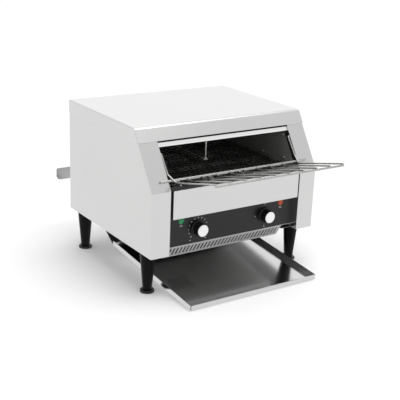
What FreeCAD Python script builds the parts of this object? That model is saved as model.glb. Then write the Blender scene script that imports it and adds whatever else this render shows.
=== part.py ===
import FreeCAD, Part
import math
import os

Vec = FreeCAD.Vector

# A conveyor toaster: X runs to the right seen from the front, Y runs to the back, Z runs up.
# While the pieces are made, Y is zero at the front face of the two pillars and Z is zero at the table.

# General fits
sheet = 1.2
seat_gap = 0.3
overrun = 5.0
weld = 0.5
run_fit = 0.05
hole_fit = 0.2
join_tolerance = 0.0001

# Casing
body_width = 472.0
body_depth = 410.0
body_bottom = 102.0
body_top = 387.0
bend_height = 256.0
top_setback = 83.5
pillar_width = 50.0
pillar_return = 20.0
pillar_corner = 4.0
pillar_inner_corner = 2.0
hem_width = 14.0

# Top cover
lid_skirt = 30.5
lid_front_radius = 9.0
lid_edge_radius = 3.0

# Back panel
louvre_count = 7
louvre_length = 120.0
louvre_height = 5.0
louvre_pitch = 14.0
louvre_centre_x = 95.0
louvre_first_z = 252.0

# Bottom panel
exit_front = 268.0
exit_rear = 392.0
service_rear = 225.0

# Front plate over the control panel
plate_side_gap = 5.4
plate_stand = 2.0
plate_share = 0.835
plate_corner = 2.0
plate_top_depth = 27.0

# Control panel
panel_low = 113.0
panel_high = 250.0
panel_flange = 7.0
panel_bend = 0.8

# Vented pan under the control panel
pan_sheet = 1.0
pan_left_gap = 6.0
pan_right_gap = 30.7
pan_low = 80.5
pan_slant_run = 21.0
pan_rear = 225.0
pan_rear_slant = 13.0
pan_rear_flange = 14.0
pan_lip = 7.5
pan_bend = 0.5
slot_pitch = 10.0
slot_width = 4.4
slot_length = 24.5

# Lip above the bread opening
lip_low = 341.0
lip_high = 352.5
lip_recess = 5.0
lip_top_return = 14.0
lip_low_return = 24.0
lip_bend = 1.5

# Inner walls and reflectors
wall_top = 352.0
wall_front_gap = 1.5
deck_drop = 35.0
deck_front = 24.0
deck_front_rise = 15.0
deck_rear = 338.0
deck_rear_turn = 8.0
shield_foot = 12.0
shield_front = 262.0
shield_knee = 150.0
shield_rear = 330.0
shield_top_flange = 12.0
inner_bend = 2.0

# Toast chute
chute_side_gap = 1.5
chute_back = 399.0
chute_top = 350.0
chute_end_y = 277.0
chute_end_z = 38.0
chute_slope = 33.2
chute_radius = 70.0
chute_shelf = 14.0
chute_shelf_inset = 20.0
chute_bend = 1.5
chute_flange_low = 200.0

# Toast tray
tray_side_gap = 2.5
tray_front = -88.0
tray_length = 364.5
tray_wall = 13.0
tray_bend = 0.8
tray_seam = 2.0
tray_sheet = 1.0
tray_tilt = 5.0
tray_lift = 0.3

# Loading rack
wire_radius = 2.0
rod_radius = 2.5
rack_reach = 157.5
rack_tip_height = 314.5
rack_knee_y = -2.0
rack_knee_z = 276.0
rack_step_y = 23.0
rack_step_z = 289.0
rack_side_gap = 10.0
rack_wires = 10
rack_tail_y = 22.0
rack_tail_z = 272.0
rack_bend = 7.0
hook_height = 330.0
hook_inset = 6.0
hook_length = 4.0
hook_side_gap = 3.0
hook_bend = 3.0
rest_rod_inset = 27.0
rest_rod_height = 278.0

# Conveyor
belt_side_gap = 14.0
belt_inner_radius = 20.8
belt_thickness = 2.0
axle_height = 240.0
idler_y = 52.0
drive_y = 332.0
belt_rows = 50
belt_columns = 6
belt_strand = 2.6
belt_edge = 3.0
shaft_radius = 5.0
shaft_tail = 10.8
drive_tail = 8.0
collar_radius = 9.0
collar_width = 3.0
sprocket_width = 5.0
sprocket_teeth = 12
sprocket_tip_gap = 0.3
sprocket_tooth_depth = 4.0
sprocket_root_half = 2.2
sprocket_tip_half = 0.9
sprocket_hub = 9.0
sprocket_hub_width = 12.0
sprocket_inset = 37.0
bush_barrel = 8.0
bush_flange = 11.0
bush_flange_width = 2.0
bush_tail = 3.5

# Belt rails
rail_gap = 0.5
rail_height = 8.0
rail_width = 3.0
rail_start = 76.0
rail_end = 306.0
rail_rod = 3.0
rail_rod_front = 90.0
rail_rod_rear = 290.0

# Chain drive
chain_pitch = 6.35
chain_links = 66
chain_stand = 21.8
driven_teeth = 16
motor_teeth = 12
roller_radius = 1.65
roller_play = 0.25
chain_inner_width = 3.2
chain_plate = 0.8
chain_plate_half = 2.5
tooth_tip_rise = 1.7
tooth_width = 2.6
chain_hub = 7.5
chain_hub_width = 9.0
motor_share = 0.47
motor_shaft_radius = 4.0
gearbox_length = 35.0
gearbox_half_y = 34.0
gearbox_half_z = 27.0
gearbox_corner = 5.0
motor_can = 26.0
motor_can_length = 48.0
motor_cap = 22.0
motor_cap_length = 5.0

# Heaters
tube_radius = 5.5
tube_wall = 1.2
tube_tail = 4.8
upper_tube_z = 337.0
upper_tube_first = 128.0
upper_tube_pitch = 58.0
upper_tubes = 4
lower_tube_drop = 4.0
lower_tube_first = 120.0
lower_tube_pitch = 72.0
lower_tubes = 3
cap_barrel = 9.0
cap_flange = 11.5
cap_flange_width = 2.5
cap_tail = 5.0
guard_wire = 1.5
guard_height = 328.5
guard_front = 118.0
guard_rear = 385.0
guard_spread = 60.0
divider_front = 143.0
divider_rear = 320.0
divider_rise = 32.0
divider_bend = 8.0
divider_foot_half = 7.0
divider_foot_rise = 10.0

# Cooling fan
fan_x = -70.0
fan_y = 120.0
fan_size = 80.0
fan_depth = 25.0
fan_bore = 38.0
fan_hub = 14.0
fan_hub_height = 3.0
fan_strut = 5.0
fan_struts = 3
fan_blades = 7
fan_blade_tip = 36.5
fan_blade_thickness = 1.4
fan_blade_tilt = 32.0
fan_corner = 6.0
fan_slots = 6
fan_slot_width = 4.0
fan_slot_pitch = 10.0

# Controls
control_side_gap = 88.0
control_share = 0.4515
lamp_side_gap = 40.8
lamp_share = 0.7039
knob_panel_gap = 0.5
knob_skirt = 20.0
knob_skirt_height = 6.0
knob_grip = 15.6
knob_height = 22.5
knob_edge = 1.2
knob_cap_radius = 14.2
knob_cap_height = 1.5
knob_bore_depth = 14.0
stem_radius = 3.0
stem_hole = 4.0
stem_tail = 12.0
switch_size = 34.0
switch_depth = 22.0
switch_corner = 3.0
selector_size = 30.0
selector_depth = 32.0
lamp_lens = 8.0
lamp_rim = 1.2
lamp_dome = 3.6
lamp_body = 7.2
lamp_body_depth = 28.0
lamp_neck = 5.6

# Electrical inlet
block_length = 110.0
block_depth = 20.0
block_height = 20.0
block_front = 227.0
block_ways = 5
block_screw = 3.0
gland_inset = 30.0
gland_z = 135.0
gland_thread = 8.0
gland_nut = 12.0
gland_nose = 10.5
gland_bore = 4.5
gland_length = 18.0
gland_nut_width = 6.0
gland_tail = 4.0

# Legs and levelling feet
leg_inset_x = 23.7
leg_inset_front = 53.4
leg_inset_rear = 37.6
leg_top_radius = 19.0
leg_low_radius = 11.2
leg_low = 8.0
foot_radius = 17.0
foot_height = 6.0
foot_edge = 1.5
foot_neck = 8.5
foot_stud = 5.0
foot_stud_top = 36.0
foot_notches = 8
foot_notch = 1.6
bolt_radius = 4.0
bolt_head = 7.0
bolt_head_height = 5.0
bolt_bottom = 74.0

# Rear spacer that keeps the hot back off a wall
spacer_reach = 85.0
spacer_sheet = 2.0
spacer_low = 153.0
spacer_high = 185.0
spacer_low_corner = 12.0
spacer_high_corner = 4.0
spacer_arm_margin = 86.0
spacer_arm_inset = 6.0
spacer_foot = 22.0
spacer_screw_rise = 5.5

# Screws
screw_head = 3.8
screw_head_height = 2.0
screw_shank = 1.9
screw_length = 8.0
lid_screw_inner = 70.0
lid_screw_margin = 36.0
lid_screw_z = 366.0
back_screw_inset = 8.0
back_screw_z = (125.0, 235.0, 345.0)
wall_screw_places = ((78.0, 329.0), (152.0, 267.0), (68.0, 272.0))

# Sizes that follow
half_width = body_width / 2
opening_half = half_width - pillar_width
slope_run = top_setback / (body_top - bend_height)
panel_top = body_top - sheet - seat_gap
back_inner = body_depth - sheet
inside_half = half_width - sheet - seat_gap
floor_top = body_bottom + sheet
wall_outer = opening_half + sheet
wall_seat = opening_half - seat_gap
panel_back = pillar_return + sheet
wall_front = pillar_return + wall_front_gap
belt_outer_radius = belt_inner_radius + belt_thickness
reflector_low = wall_top + seat_gap
rear_face = body_depth + spacer_reach
centre_y = (rear_face - rack_reach) / 2
knob_back = pillar_return - knob_panel_gap
knob_front = knob_back - knob_height
leg_x = half_width - leg_inset_x
leg_front_y = leg_inset_front
leg_rear_y = body_depth - leg_inset_rear
pan_left = opening_half - pan_left_gap
pan_right = opening_half - pan_right_gap
chute_half = opening_half - chute_side_gap
tray_half = opening_half - tray_side_gap
rack_half = opening_half - rack_side_gap
hook_x = opening_half - hook_side_gap
rest_rod_half = half_width - rest_rod_inset
belt_half = opening_half - belt_side_gap
sprocket_far_x = belt_half - sprocket_inset
sprocket_near_x = sprocket_far_x / 3
rail_spread = sprocket_near_x * 2
shaft_end = wall_outer + shaft_tail
chain_x = wall_outer + chain_stand
drive_end = chain_x + drive_tail
tube_end = wall_outer + tube_tail
control_x = opening_half - control_side_gap
lamp_x = opening_half - lamp_side_gap
gland_x = gland_inset - half_width
spacer_arm_x = half_width - spacer_arm_margin
lid_screw_outer = half_width - lid_screw_margin
deck_height = axle_height - deck_drop
deck_rise = deck_height - body_bottom
plate_low = body_bottom + plate_share * deck_rise
control_z = body_bottom + control_share * deck_rise
lamp_z = body_bottom + lamp_share * deck_rise
motor_height = body_bottom + motor_share * deck_rise
lower_tube_z = axle_height - lower_tube_drop
divider_height = axle_height + divider_rise


# Height along the slope of the front, given as a distance behind the pillars
def slope_y(height):
    return (height - bend_height) * slope_run


# Plain solids
def block(x0, x1, y0, y1, z0, z1):
    return Part.makeBox(x1 - x0, y1 - y0, z1 - z0, Vec(x0, y0, z0))


def rod_x(y, z, radius, x0, x1):
    return Part.makeCylinder(radius, x1 - x0, Vec(x0, y, z), Vec(1, 0, 0))


def rod_y(x, z, radius, y0, y1):
    return Part.makeCylinder(radius, y1 - y0, Vec(x, y0, z), Vec(0, 1, 0))


def rod_z(x, y, radius, z0, z1):
    return Part.makeCylinder(radius, z1 - z0, Vec(x, y, z0), Vec(0, 0, 1))


def joined(pieces):
    return pieces[0].multiFuse(pieces[1:]).removeSplitter()


def without(solid, tools):
    return solid.cut(Part.Compound(tools))


def mirrored(solid):
    return solid.mirror(Vec(0, 0, 0), Vec(1, 0, 0))


# Places in the three flat views
def in_yz(points, x):
    return [Vec(x, y, z) for y, z in points]


def in_xz(points, y):
    return [Vec(x, y, z) for x, z in points]


def in_xy(points, z):
    return [Vec(x, y, z) for x, y in points]


# Start, middle and end of the arc that rounds one corner of a path
def corner_arc(before, corner, after, radius):
    back = (before - corner).normalize()
    ahead = (after - corner).normalize()
    half = back.getAngle(ahead) / 2
    reach = radius / math.tan(half)
    inward = (back + ahead).normalize()
    centre = corner + inward * (radius / math.sin(half))
    return corner + back * reach, centre - inward * radius, corner + ahead * reach


# Flat face with rounded corners
def face_of(points, radii):
    corners = []
    count = len(points)
    for i in range(count):
        if radii[i] > 0:
            corners.append(corner_arc(points[i - 1], points[i], points[(i + 1) % count], radii[i]))
        else:
            corners.append((points[i], points[i], points[i]))
    edges = []
    for i in range(count):
        start, middle, end = corners[i]
        if radii[i] > 0:
            edges.append(Part.Arc(start, middle, end).toShape())
        following = corners[(i + 1) % count][0]
        if end.distanceToPoint(following) > join_tolerance:
            edges.append(Part.makeLine(end, following))
    return Part.Face(Part.Wire(edges))


# Outline of a folded sheet that lies on the left of the line through the points
def folded(points, thickness, bends):
    line = [Vec(u, v, 0) for u, v in points]
    runs = [(line[i + 1] - line[i]).normalize() for i in range(len(line) - 1)]
    lefts = [Vec(-run.y, run.x, 0) for run in runs]
    side = [line[0] + lefts[0] * thickness]
    outer = [0]
    inner = [0]
    for i in range(1, len(line) - 1):
        share = 1 + lefts[i - 1].dot(lefts[i])
        side.append(line[i] + (lefts[i - 1] + lefts[i]) * (thickness / share))
        turns_left = runs[i - 1].cross(runs[i]).z > 0
        outer.append(bends[i - 1] + thickness if turns_left else bends[i - 1])
        inner.append(bends[i - 1] if turns_left else bends[i - 1] + thickness)
    side.append(line[-1] + lefts[-1] * thickness)
    corners = line + side[::-1]
    radii = outer + [0, 0] + inner[::-1]
    return [(corner.x, corner.y) for corner in corners], radii


def folded_along_x(points, thickness, bends, x0, x1):
    corners, radii = folded(points, thickness, bends)
    return face_of(in_yz(corners, x0), radii).extrude(Vec(x1 - x0, 0, 0))


def slab_x(points, radii, x0, x1):
    return face_of(in_yz(points, x0), radii).extrude(Vec(x1 - x0, 0, 0))


def slab_y(points, radii, y0, y1):
    return face_of(in_xz(points, y0), radii).extrude(Vec(0, y1 - y0, 0))


def slab_z(points, radii, z0, z1):
    return face_of(in_xy(points, z0), radii).extrude(Vec(0, 0, z1 - z0))


def rectangle(u0, u1, v0, v1):
    return [(u0, v0), (u1, v0), (u1, v1), (u0, v1)]


# Round wire along straight runs joined by arcs
def bent_wire(points, bends, radius):
    edges = []
    at = points[0]
    for i in range(1, len(points) - 1):
        start, middle, end = corner_arc(points[i - 1], points[i], points[i + 1], bends[i - 1])
        edges.append(Part.makeLine(at, start))
        edges.append(Part.Arc(start, middle, end).toShape())
        at = end
    edges.append(Part.makeLine(at, points[-1]))
    ring = Part.Wire(Part.makeCircle(radius, points[0], points[1] - points[0]))
    return Part.Wire(edges).makePipeShell([ring], True, False)


# Pan-head screws: the head lies outside the face that it holds
def screw_into_front(x, face_y, z):
    head = rod_y(x, z, screw_head, face_y, face_y + screw_head_height)
    return head.fuse(rod_y(x, z, screw_shank, face_y - screw_length, face_y))


def screw_outwards(face_x, y, z):
    head = rod_x(y, z, screw_head, face_x - screw_head_height, face_x)
    return head.fuse(rod_x(y, z, screw_shank, face_x, face_x + screw_length))


def screw_hole_y(x, z):
    return rod_y(x, z, screw_shank + hole_fit, back_inner - screw_length, body_depth + screw_length)


def back_screw_places():
    x = half_width - back_screw_inset
    return [(side * x, z) for side in (-1, 1) for z in back_screw_z]


def lid_screw_places():
    return [(side * x, lid_screw_z) for side in (-1, 1) for x in (lid_screw_inner, lid_screw_outer)]


def spacer_screw_places():
    middle = (spacer_low + spacer_high) / 2
    x = spacer_arm_x - spacer_foot / 2
    return [(side * x, middle + end * spacer_screw_rise) for side in (-1, 1) for end in (-1, 1)]


# Rack hook
def hook_y():
    return slope_y(hook_height) + hook_inset


# Solid inside the top cover's skin, at a distance in from its outside
def cover_block(inset, bottom):
    top = body_top - inset
    out = seat_gap + sheet - inset
    points = [(slope_y(bottom) - out, bottom), (slope_y(top) - out, top)]
    points += [(body_depth + out, top), (body_depth + out, bottom)]
    half = half_width + out
    return slab_x(points, [0, lid_front_radius - inset, 0, 0], -half, half)


# Left side panel with its front pillar, folded from one sheet
def side_panel():
    outer = -half_width
    inner = -opening_half
    profile = [(outer, body_depth), (outer, 0), (inner, 0), (inner, pillar_return)]
    corners, radii = folded(profile, sheet, [pillar_corner - sheet, pillar_inner_corner - sheet])
    rise = panel_top - bend_height
    lower = face_of(in_xy(corners, body_bottom), radii).extrude(Vec(0, 0, bend_height - body_bottom))
    upper = face_of(in_xy(corners, bend_height), radii).extrude(Vec(0, rise * slope_run, rise))
    behind = block(outer - overrun, inner + overrun, body_depth, body_depth + top_setback + overrun,
                   bend_height - overrun, panel_top + overrun)
    hem_rear = back_inner - seat_gap
    foot_low = floor_top + seat_gap
    foot = block(outer, outer + hem_width, pillar_corner, hem_rear, foot_low, foot_low + sheet)
    rear = block(outer, outer + hem_width, hem_rear - sheet, hem_rear, foot_low, panel_top)
    top_front = slope_y(panel_top) + pillar_corner
    top = block(outer, outer + hem_width, top_front, hem_rear, panel_top - sheet, panel_top)
    panel = joined([lower, upper.cut(behind), foot, rear, top])
    reach = 2 * lid_front_radius
    corner = block(outer - overrun, inner + overrun, slope_y(panel_top) - reach, slope_y(panel_top) + reach,
                   panel_top - reach, panel_top + overrun)
    corner = corner.cut(cover_block(sheet + seat_gap, bend_height))
    hook = rod_x(hook_y(), hook_height, wire_radius + run_fit, inner - hem_width, inner + overrun)
    holes = [screw_hole_y(x, z) for x, z in back_screw_places()]
    return without(panel, [corner, hook] + holes)


# Top cover with its skirt
def top_cover():
    skirt_low = body_top - lid_skirt
    outside = cover_block(0, skirt_low)
    half = half_width + seat_gap + sheet
    rear = body_depth + seat_gap + sheet
    edges = []
    for edge in outside.Edges:
        box = edge.BoundBox
        at_side = abs(abs(box.Center.x) - half) < join_tolerance
        at_rear_top = abs(box.YMin - rear) < join_tolerance and abs(box.ZMin - body_top) < join_tolerance
        at_bottom = abs(box.ZMax - skirt_low) < join_tolerance
        if (at_side or at_rear_top) and not at_bottom:
            edges.append(edge)
    outside = outside.makeFillet(lid_edge_radius, edges)
    cover = outside.cut(cover_block(sheet, skirt_low - overrun))
    return without(cover, [screw_hole_y(x, z) for x, z in lid_screw_places()])


# Back panel with louvres
def back_panel():
    panel = block(-inside_half, inside_half, back_inner, body_depth, body_bottom, panel_top)
    tools = []
    for side in (-1, 1):
        for row in range(louvre_count):
            z = louvre_first_z + row * louvre_pitch
            half = louvre_length / 2
            x = side * louvre_centre_x
            corners = rectangle(x - half, x + half, z, z + louvre_height)
            radii = [louvre_height / 3] * len(corners)
            tools.append(slab_y(corners, radii, back_inner - overrun, body_depth + overrun))
    gland_hole = gland_thread + hole_fit
    tools.append(rod_y(gland_x, gland_z, gland_hole, back_inner - overrun, body_depth + overrun))
    places = back_screw_places() + lid_screw_places() + spacer_screw_places()
    tools += [screw_hole_y(x, z) for x, z in places]
    return without(panel, tools)


# Bottom panel: a frame round the service opening and the toast exit
def bottom_panel():
    rear = back_inner - seat_gap
    main = block(-inside_half, inside_half, wall_front, rear, body_bottom, floor_top)
    left = block(-inside_half, -wall_outer, pillar_corner, wall_front, body_bottom, floor_top)
    right = block(wall_outer, inside_half, pillar_corner, wall_front, body_bottom, floor_top)
    low = body_bottom - overrun
    high = floor_top + overrun
    service_left = -pan_left - seat_gap
    service = block(service_left, pan_right + seat_gap, wall_front - overrun, service_rear, low, high)
    exit_way = block(-wall_seat, wall_seat, exit_front, exit_rear, low, high)
    bolts = [rod_z(x, y, bolt_radius + hole_fit, low, high) for x, y in leg_places()]
    return without(joined([main, left, right]), [service, exit_way] + bolts)


# Front plate, a shallow box open at the back, whose top runs back over the control panel
def front_plate():
    half = opening_half - plate_side_gap
    back = pillar_return - seat_gap
    corners = rectangle(-half, half, plate_low, bend_height)
    outside = slab_y(corners, [plate_corner] * len(corners), -plate_stand, back)
    rim = [edge for edge in outside.Edges if abs(edge.BoundBox.YMax + plate_stand) < join_tolerance]
    outside = outside.makeFillet(plate_corner / 2, rim)
    inner = half - sheet
    hollow = block(-inner, inner, sheet - plate_stand, back + overrun,
                   plate_low + sheet, bend_height - sheet)
    shelf = half - plate_corner
    top = block(-shelf, shelf, 0, plate_top_depth, bend_height - sheet, bend_height)
    return outside.cut(hollow).fuse(top).removeSplitter()


# Control panel behind the pillars
def control_panel():
    points = [(pillar_return + panel_flange, panel_high), (pillar_return, panel_high)]
    points += [(pillar_return, panel_low), (pillar_return + panel_flange, panel_low)]
    middle = folded_along_x(points, sheet, [panel_bend, panel_bend], -wall_seat, wall_seat)
    low = panel_low + sheet + panel_bend
    high = panel_high - sheet - panel_bend
    edge = block(-wall_outer, -wall_seat, pillar_return, panel_back, low, high)
    panel = joined([middle, edge, mirrored(edge)])
    front = pillar_return - overrun
    back = panel_back + overrun
    tools = []
    for side in (-1, 1):
        tools.append(rod_y(side * control_x, control_z, stem_hole, front, back))
        tools.append(rod_y(side * lamp_x, lamp_z, lamp_neck + hole_fit, front, back))
    return without(panel, tools)


# Vented pan that hangs below the control panel
def vent_pan():
    lip_top = panel_low - seat_gap
    front = pillar_return + seat_gap
    flange_z = body_bottom - seat_gap - pan_sheet
    rear = pan_rear + pan_rear_slant
    start = (front, lip_top)
    knee = (front + pan_slant_run, pan_low)
    points = [(front + pan_lip, lip_top), start, knee]
    points += [(pan_rear, pan_low), (rear, flange_z), (rear + pan_rear_flange, flange_z)]
    shell = folded_along_x(points, pan_sheet, [pan_bend] * (len(points) - 2), -pan_left, pan_right)
    lip = block(-wall_seat, wall_seat, front + pan_bend, front + pan_lip, lip_top - pan_sheet, lip_top)
    cheek = [(front + pan_bend + pan_sheet, lip_top - pan_sheet)]
    cheek += [knee, (pan_rear, pan_low), (rear, flange_z)]
    left = slab_x(cheek, [0] * len(cheek), -pan_left, pan_sheet - pan_left)
    right = slab_x(cheek, [0] * len(cheek), pan_right - pan_sheet, pan_right)
    pan = joined([shell, lip, left, right])
    slant = (Vec(0, knee[0], knee[1]) - Vec(0, start[0], start[1])).normalize()
    across = Vec(0, slant.z, -slant.y)
    middle = (Vec(0, knee[0], knee[1]) + Vec(0, start[0], start[1])) * (1 / 2)
    half = slant * (slot_length / 2)
    corners = [middle + half + across * overrun, middle - half + across * overrun]
    corners += [middle - half - across * overrun, middle + half - across * overrun]
    slot = [(corner.y, corner.z) for corner in corners]
    count = int((pan_left + pan_right - slot_pitch) / slot_pitch)
    first = (pan_right - pan_left - (count - 1) * slot_pitch) / 2
    tools = []
    for i in range(count):
        x = first + i * slot_pitch - slot_width / 2
        tools.append(slab_x(slot, [0] * len(slot), x, x + slot_width))
    half = fan_size / 3
    for i in range(fan_slots):
        x = fan_x + (i - (fan_slots - 1) / 2) * fan_slot_pitch - fan_slot_width / 2
        tools.append(block(x, x + fan_slot_width, fan_y - half, fan_y + half,
                           pan_low - overrun, pan_low + overrun))
    return without(pan, tools)


# Bright lip over the bread opening
def upper_lip():
    high_y = slope_y(lip_high) + lip_recess
    low_y = slope_y(lip_low) + lip_recess
    points = [(high_y + lip_top_return, lip_high), (high_y, lip_high)]
    points += [(low_y, lip_low), (low_y + lip_low_return, lip_low)]
    return folded_along_x(points, sheet, [lip_bend, lip_bend], -wall_seat, wall_seat)


# Inner side wall that carries the shafts and the heaters
def inner_wall(side):
    slope_front = slope_y(wall_top) + wall_front
    rear = back_inner - seat_gap
    low = floor_top + seat_gap
    points = [(wall_front, low), (wall_front, bend_height), (slope_front, wall_top)]
    points += [(rear, wall_top), (rear, low)]
    inner = side * opening_half
    outer = side * wall_outer
    wall = slab_x(points, [0] * len(points), min(inner, outer), max(inner, outer))
    x0 = min(inner, outer) - overrun
    x1 = max(inner, outer) + overrun
    tools = [rod_x(y, axle_height, bush_barrel + run_fit, x0, x1) for y in (idler_y, drive_y)]
    tools += [rod_x(y, z, cap_barrel + run_fit, x0, x1) for y, z in tube_places()]
    tools += [rod_x(y, z, screw_shank + hole_fit, x0, x1) for y, z in wall_screw_places]
    if side > 0:
        motor_y, motor_z = motor_place()
        tools.append(rod_x(motor_y, motor_z, motor_shaft_radius + hole_fit, x0, x1))
    return without(wall, tools)


def upper_reflector():
    front = slope_y(lip_high) + wall_front
    rear = back_inner - seat_gap
    return block(-wall_outer, wall_outer, front, rear, reflector_low, reflector_low + sheet)


def lower_reflector():
    points = [(deck_front, deck_height + deck_front_rise), (deck_front, deck_height)]
    points += [(deck_rear, deck_height), (deck_rear + deck_rear_turn, deck_height + deck_rear_turn)]
    return folded_along_x(points, sheet, [inner_bend, inner_bend], -wall_seat, wall_seat)


# Wall that keeps toast and heat out of the electrical space
def heat_shield():
    foot_z = floor_top + seat_gap
    top_z = deck_height - seat_gap - sheet
    points = [(shield_front - shield_foot, foot_z), (shield_front, foot_z), (shield_front, shield_knee)]
    points += [(shield_rear, top_z), (shield_rear + shield_top_flange, top_z)]
    return folded_along_x(points, sheet, [inner_bend] * (len(points) - 2), -wall_seat, wall_seat)


# Chute that turns the falling toast round to the front, with a shelf for the tray
def toast_chute():
    slope = math.tan(math.radians(chute_slope))
    corner_z = chute_end_z + (chute_back - chute_end_y) * slope
    shelf_z = tray_under(chute_end_y - chute_shelf) - seat_gap
    points = [(chute_back, chute_top), (chute_back, corner_z), (chute_end_y, chute_end_z)]
    points += [(chute_end_y, shelf_z), (chute_end_y - chute_shelf, shelf_z)]
    bends = [chute_radius, chute_bend, chute_bend]
    chute = folded_along_x(points, pan_sheet, bends, -chute_half, chute_half)
    rear = back_inner - seat_gap
    left = block(-chute_half, -chute_half + sheet, chute_back, rear, chute_flange_low, chute_top)
    notch = block(-chute_half - overrun, chute_shelf_inset - chute_half, chute_end_y - chute_shelf - overrun,
                  chute_end_y + overrun, 0, chute_end_z - chute_bend - pan_sheet)
    return without(joined([chute, left, mirrored(left)]), [notch, mirrored(notch)])


# Height of the underside of the tilted tray
def tray_under(y):
    return tray_lift + (y - tray_front) * math.tan(math.radians(tray_tilt))


# Toast tray: a floor with three walls folded up from it, apart at the corners; made flat and then tilted
def toast_tray():
    profile = [(-tray_half, tray_wall), (-tray_half, 0), (tray_half, 0), (tray_half, tray_wall)]
    corners, radii = folded(profile, tray_sheet, [tray_bend, tray_bend])
    run = tray_length - tray_seam
    sides = face_of(in_xz(corners, tray_front + tray_seam), radii).extrude(Vec(0, run, 0))
    points = [(tray_front, tray_wall), (tray_front, 0), (tray_front + 2 * tray_seam, 0)]
    half = tray_half - tray_seam
    front = folded_along_x(points, tray_sheet, [tray_bend], -half, half)
    tray = joined([sides, front])
    tray.rotate(Vec(0, tray_front, 0), Vec(1, 0, 0), tray_tilt)
    tray.translate(Vec(0, 0, tray_lift))
    return tray


# Loading rack of bent wire: two side wires that hook into the pillars, hairpins between them
def loading_rack():
    tip_y = rod_radius - rack_reach
    spacing = 2 * rack_half / (rack_wires - 1)
    parts = []
    for side in (-1, 1):
        x = side * rack_half
        near_x = side * hook_x
        end_x = side * (wall_outer + hook_length)
        points = [Vec(x, tip_y, rack_tip_height), Vec(x, rack_knee_y, rack_knee_z)]
        points += [Vec(near_x, rack_step_y, rack_step_z), Vec(near_x, hook_y(), hook_height)]
        points += [Vec(end_x, hook_y(), hook_height)]
        parts.append(bent_wire(points, [rack_bend, rack_bend, hook_bend], wire_radius))
    for i in range(1, rack_wires - 2, 2):
        left = i * spacing - rack_half
        right = left + spacing
        points = [Vec(left, tip_y, rack_tip_height), Vec(left, rack_knee_y, rack_knee_z)]
        points += [Vec(left, rack_tail_y, rack_tail_z), Vec(right, rack_tail_y, rack_tail_z)]
        points += [Vec(right, rack_knee_y, rack_knee_z), Vec(right, tip_y, rack_tip_height)]
        parts.append(bent_wire(points, [rack_bend] * (len(points) - 2), wire_radius))
    step = wire_radius + rod_radius - weld
    front_half = rack_half + wire_radius
    parts.append(rod_x(tip_y, rack_tip_height - step, rod_radius, -front_half, front_half))
    stand = (rod_radius + seat_gap) * math.hypot(1, slope_run)
    rest_y = slope_y(rest_rod_height) - stand
    parts.append(rod_x(rest_y, rest_rod_height, rod_radius, -rest_rod_half, rest_rod_half))
    return joined(parts)


# Length and places along the belt's middle line
def belt_place(distance):
    radius = belt_inner_radius + belt_thickness / 2
    straight = drive_y - idler_y
    half_turn = math.pi * radius
    distance = distance % (2 * straight + 2 * half_turn)
    if distance < straight:
        return idler_y + distance, axle_height + radius, 0
    distance -= straight
    if distance < half_turn:
        angle = distance / radius
        return drive_y + radius * math.sin(angle), axle_height + radius * math.cos(angle), -angle
    distance -= half_turn
    if distance < straight:
        return drive_y - distance, axle_height - radius, math.pi
    angle = (distance - straight) / radius
    return idler_y - radius * math.sin(angle), axle_height - radius * math.cos(angle), math.pi - angle


def belt_loop(radius, half):
    points = rectangle(idler_y - radius, drive_y + radius, axle_height - radius, axle_height + radius)
    return slab_x(points, [radius] * len(points), -half, half)


# Wire belt: cross strands held at their ends and at the links between them
def conveyor_belt():
    band = belt_loop(belt_outer_radius, belt_half).cut(belt_loop(belt_inner_radius, belt_half + overrun))
    radius = belt_inner_radius + belt_thickness / 2
    length = 2 * (drive_y - idler_y) + 2 * math.pi * radius
    pitch = length / belt_rows
    gap = pitch - belt_strand
    cell = (2 * belt_half - belt_edge) / belt_columns
    tools = []
    for row in range(belt_rows):
        y, z, angle = belt_place(row * pitch)
        for column in range(belt_columns):
            x0 = belt_edge - belt_half + column * cell
            hole = block(x0, x0 + cell - belt_edge, -gap / 2, gap / 2, -belt_thickness, belt_thickness)
            hole.rotate(Vec(0, 0, 0), Vec(1, 0, 0), math.degrees(angle))
            hole.translate(Vec(0, y, z))
            tools.append(hole)
    return without(band, tools)


# Shaft along X with a collar outside each bush
def shaft(y, right_end):
    inner = wall_outer + seat_gap + bush_flange_width + bush_tail + run_fit
    outer = inner + collar_width
    parts = [rod_x(y, axle_height, shaft_radius, -shaft_end, right_end)]
    parts.append(rod_x(y, axle_height, collar_radius, -outer, -inner))
    parts.append(rod_x(y, axle_height, collar_radius, inner, outer))
    return joined(parts)


# Toothed disc about an axis along X; the first tooth points at the angle given
def toothed_disc(y, z, x, width, teeth, root, tip, root_half, tip_half, first):
    points = []
    for i in range(teeth):
        turn = first + 2 * math.pi * i / teeth
        for radius, half in ((root, -root_half), (tip, -tip_half), (tip, tip_half), (root, root_half)):
            angle = turn + half / radius
            points.append((y + radius * math.cos(angle), z + radius * math.sin(angle)))
    return slab_x(points, [0] * len(points), x - width / 2, x + width / 2)


def belt_sprockets(y):
    tip = belt_inner_radius - sprocket_tip_gap
    root = tip - sprocket_tooth_depth
    half = sprocket_hub_width / 2
    discs = []
    for x in (-sprocket_far_x, -sprocket_near_x, sprocket_near_x, sprocket_far_x):
        disc = toothed_disc(y, axle_height, x, sprocket_width, sprocket_teeth, root, tip,
                            sprocket_root_half, sprocket_tip_half, 0)
        disc = disc.fuse(rod_x(y, axle_height, sprocket_hub, x - half, x + half))
        bore = rod_x(y, axle_height, shaft_radius + run_fit, x - half - overrun, x + half + overrun)
        discs.append(disc.cut(bore))
    return Part.Compound(discs)


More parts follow.
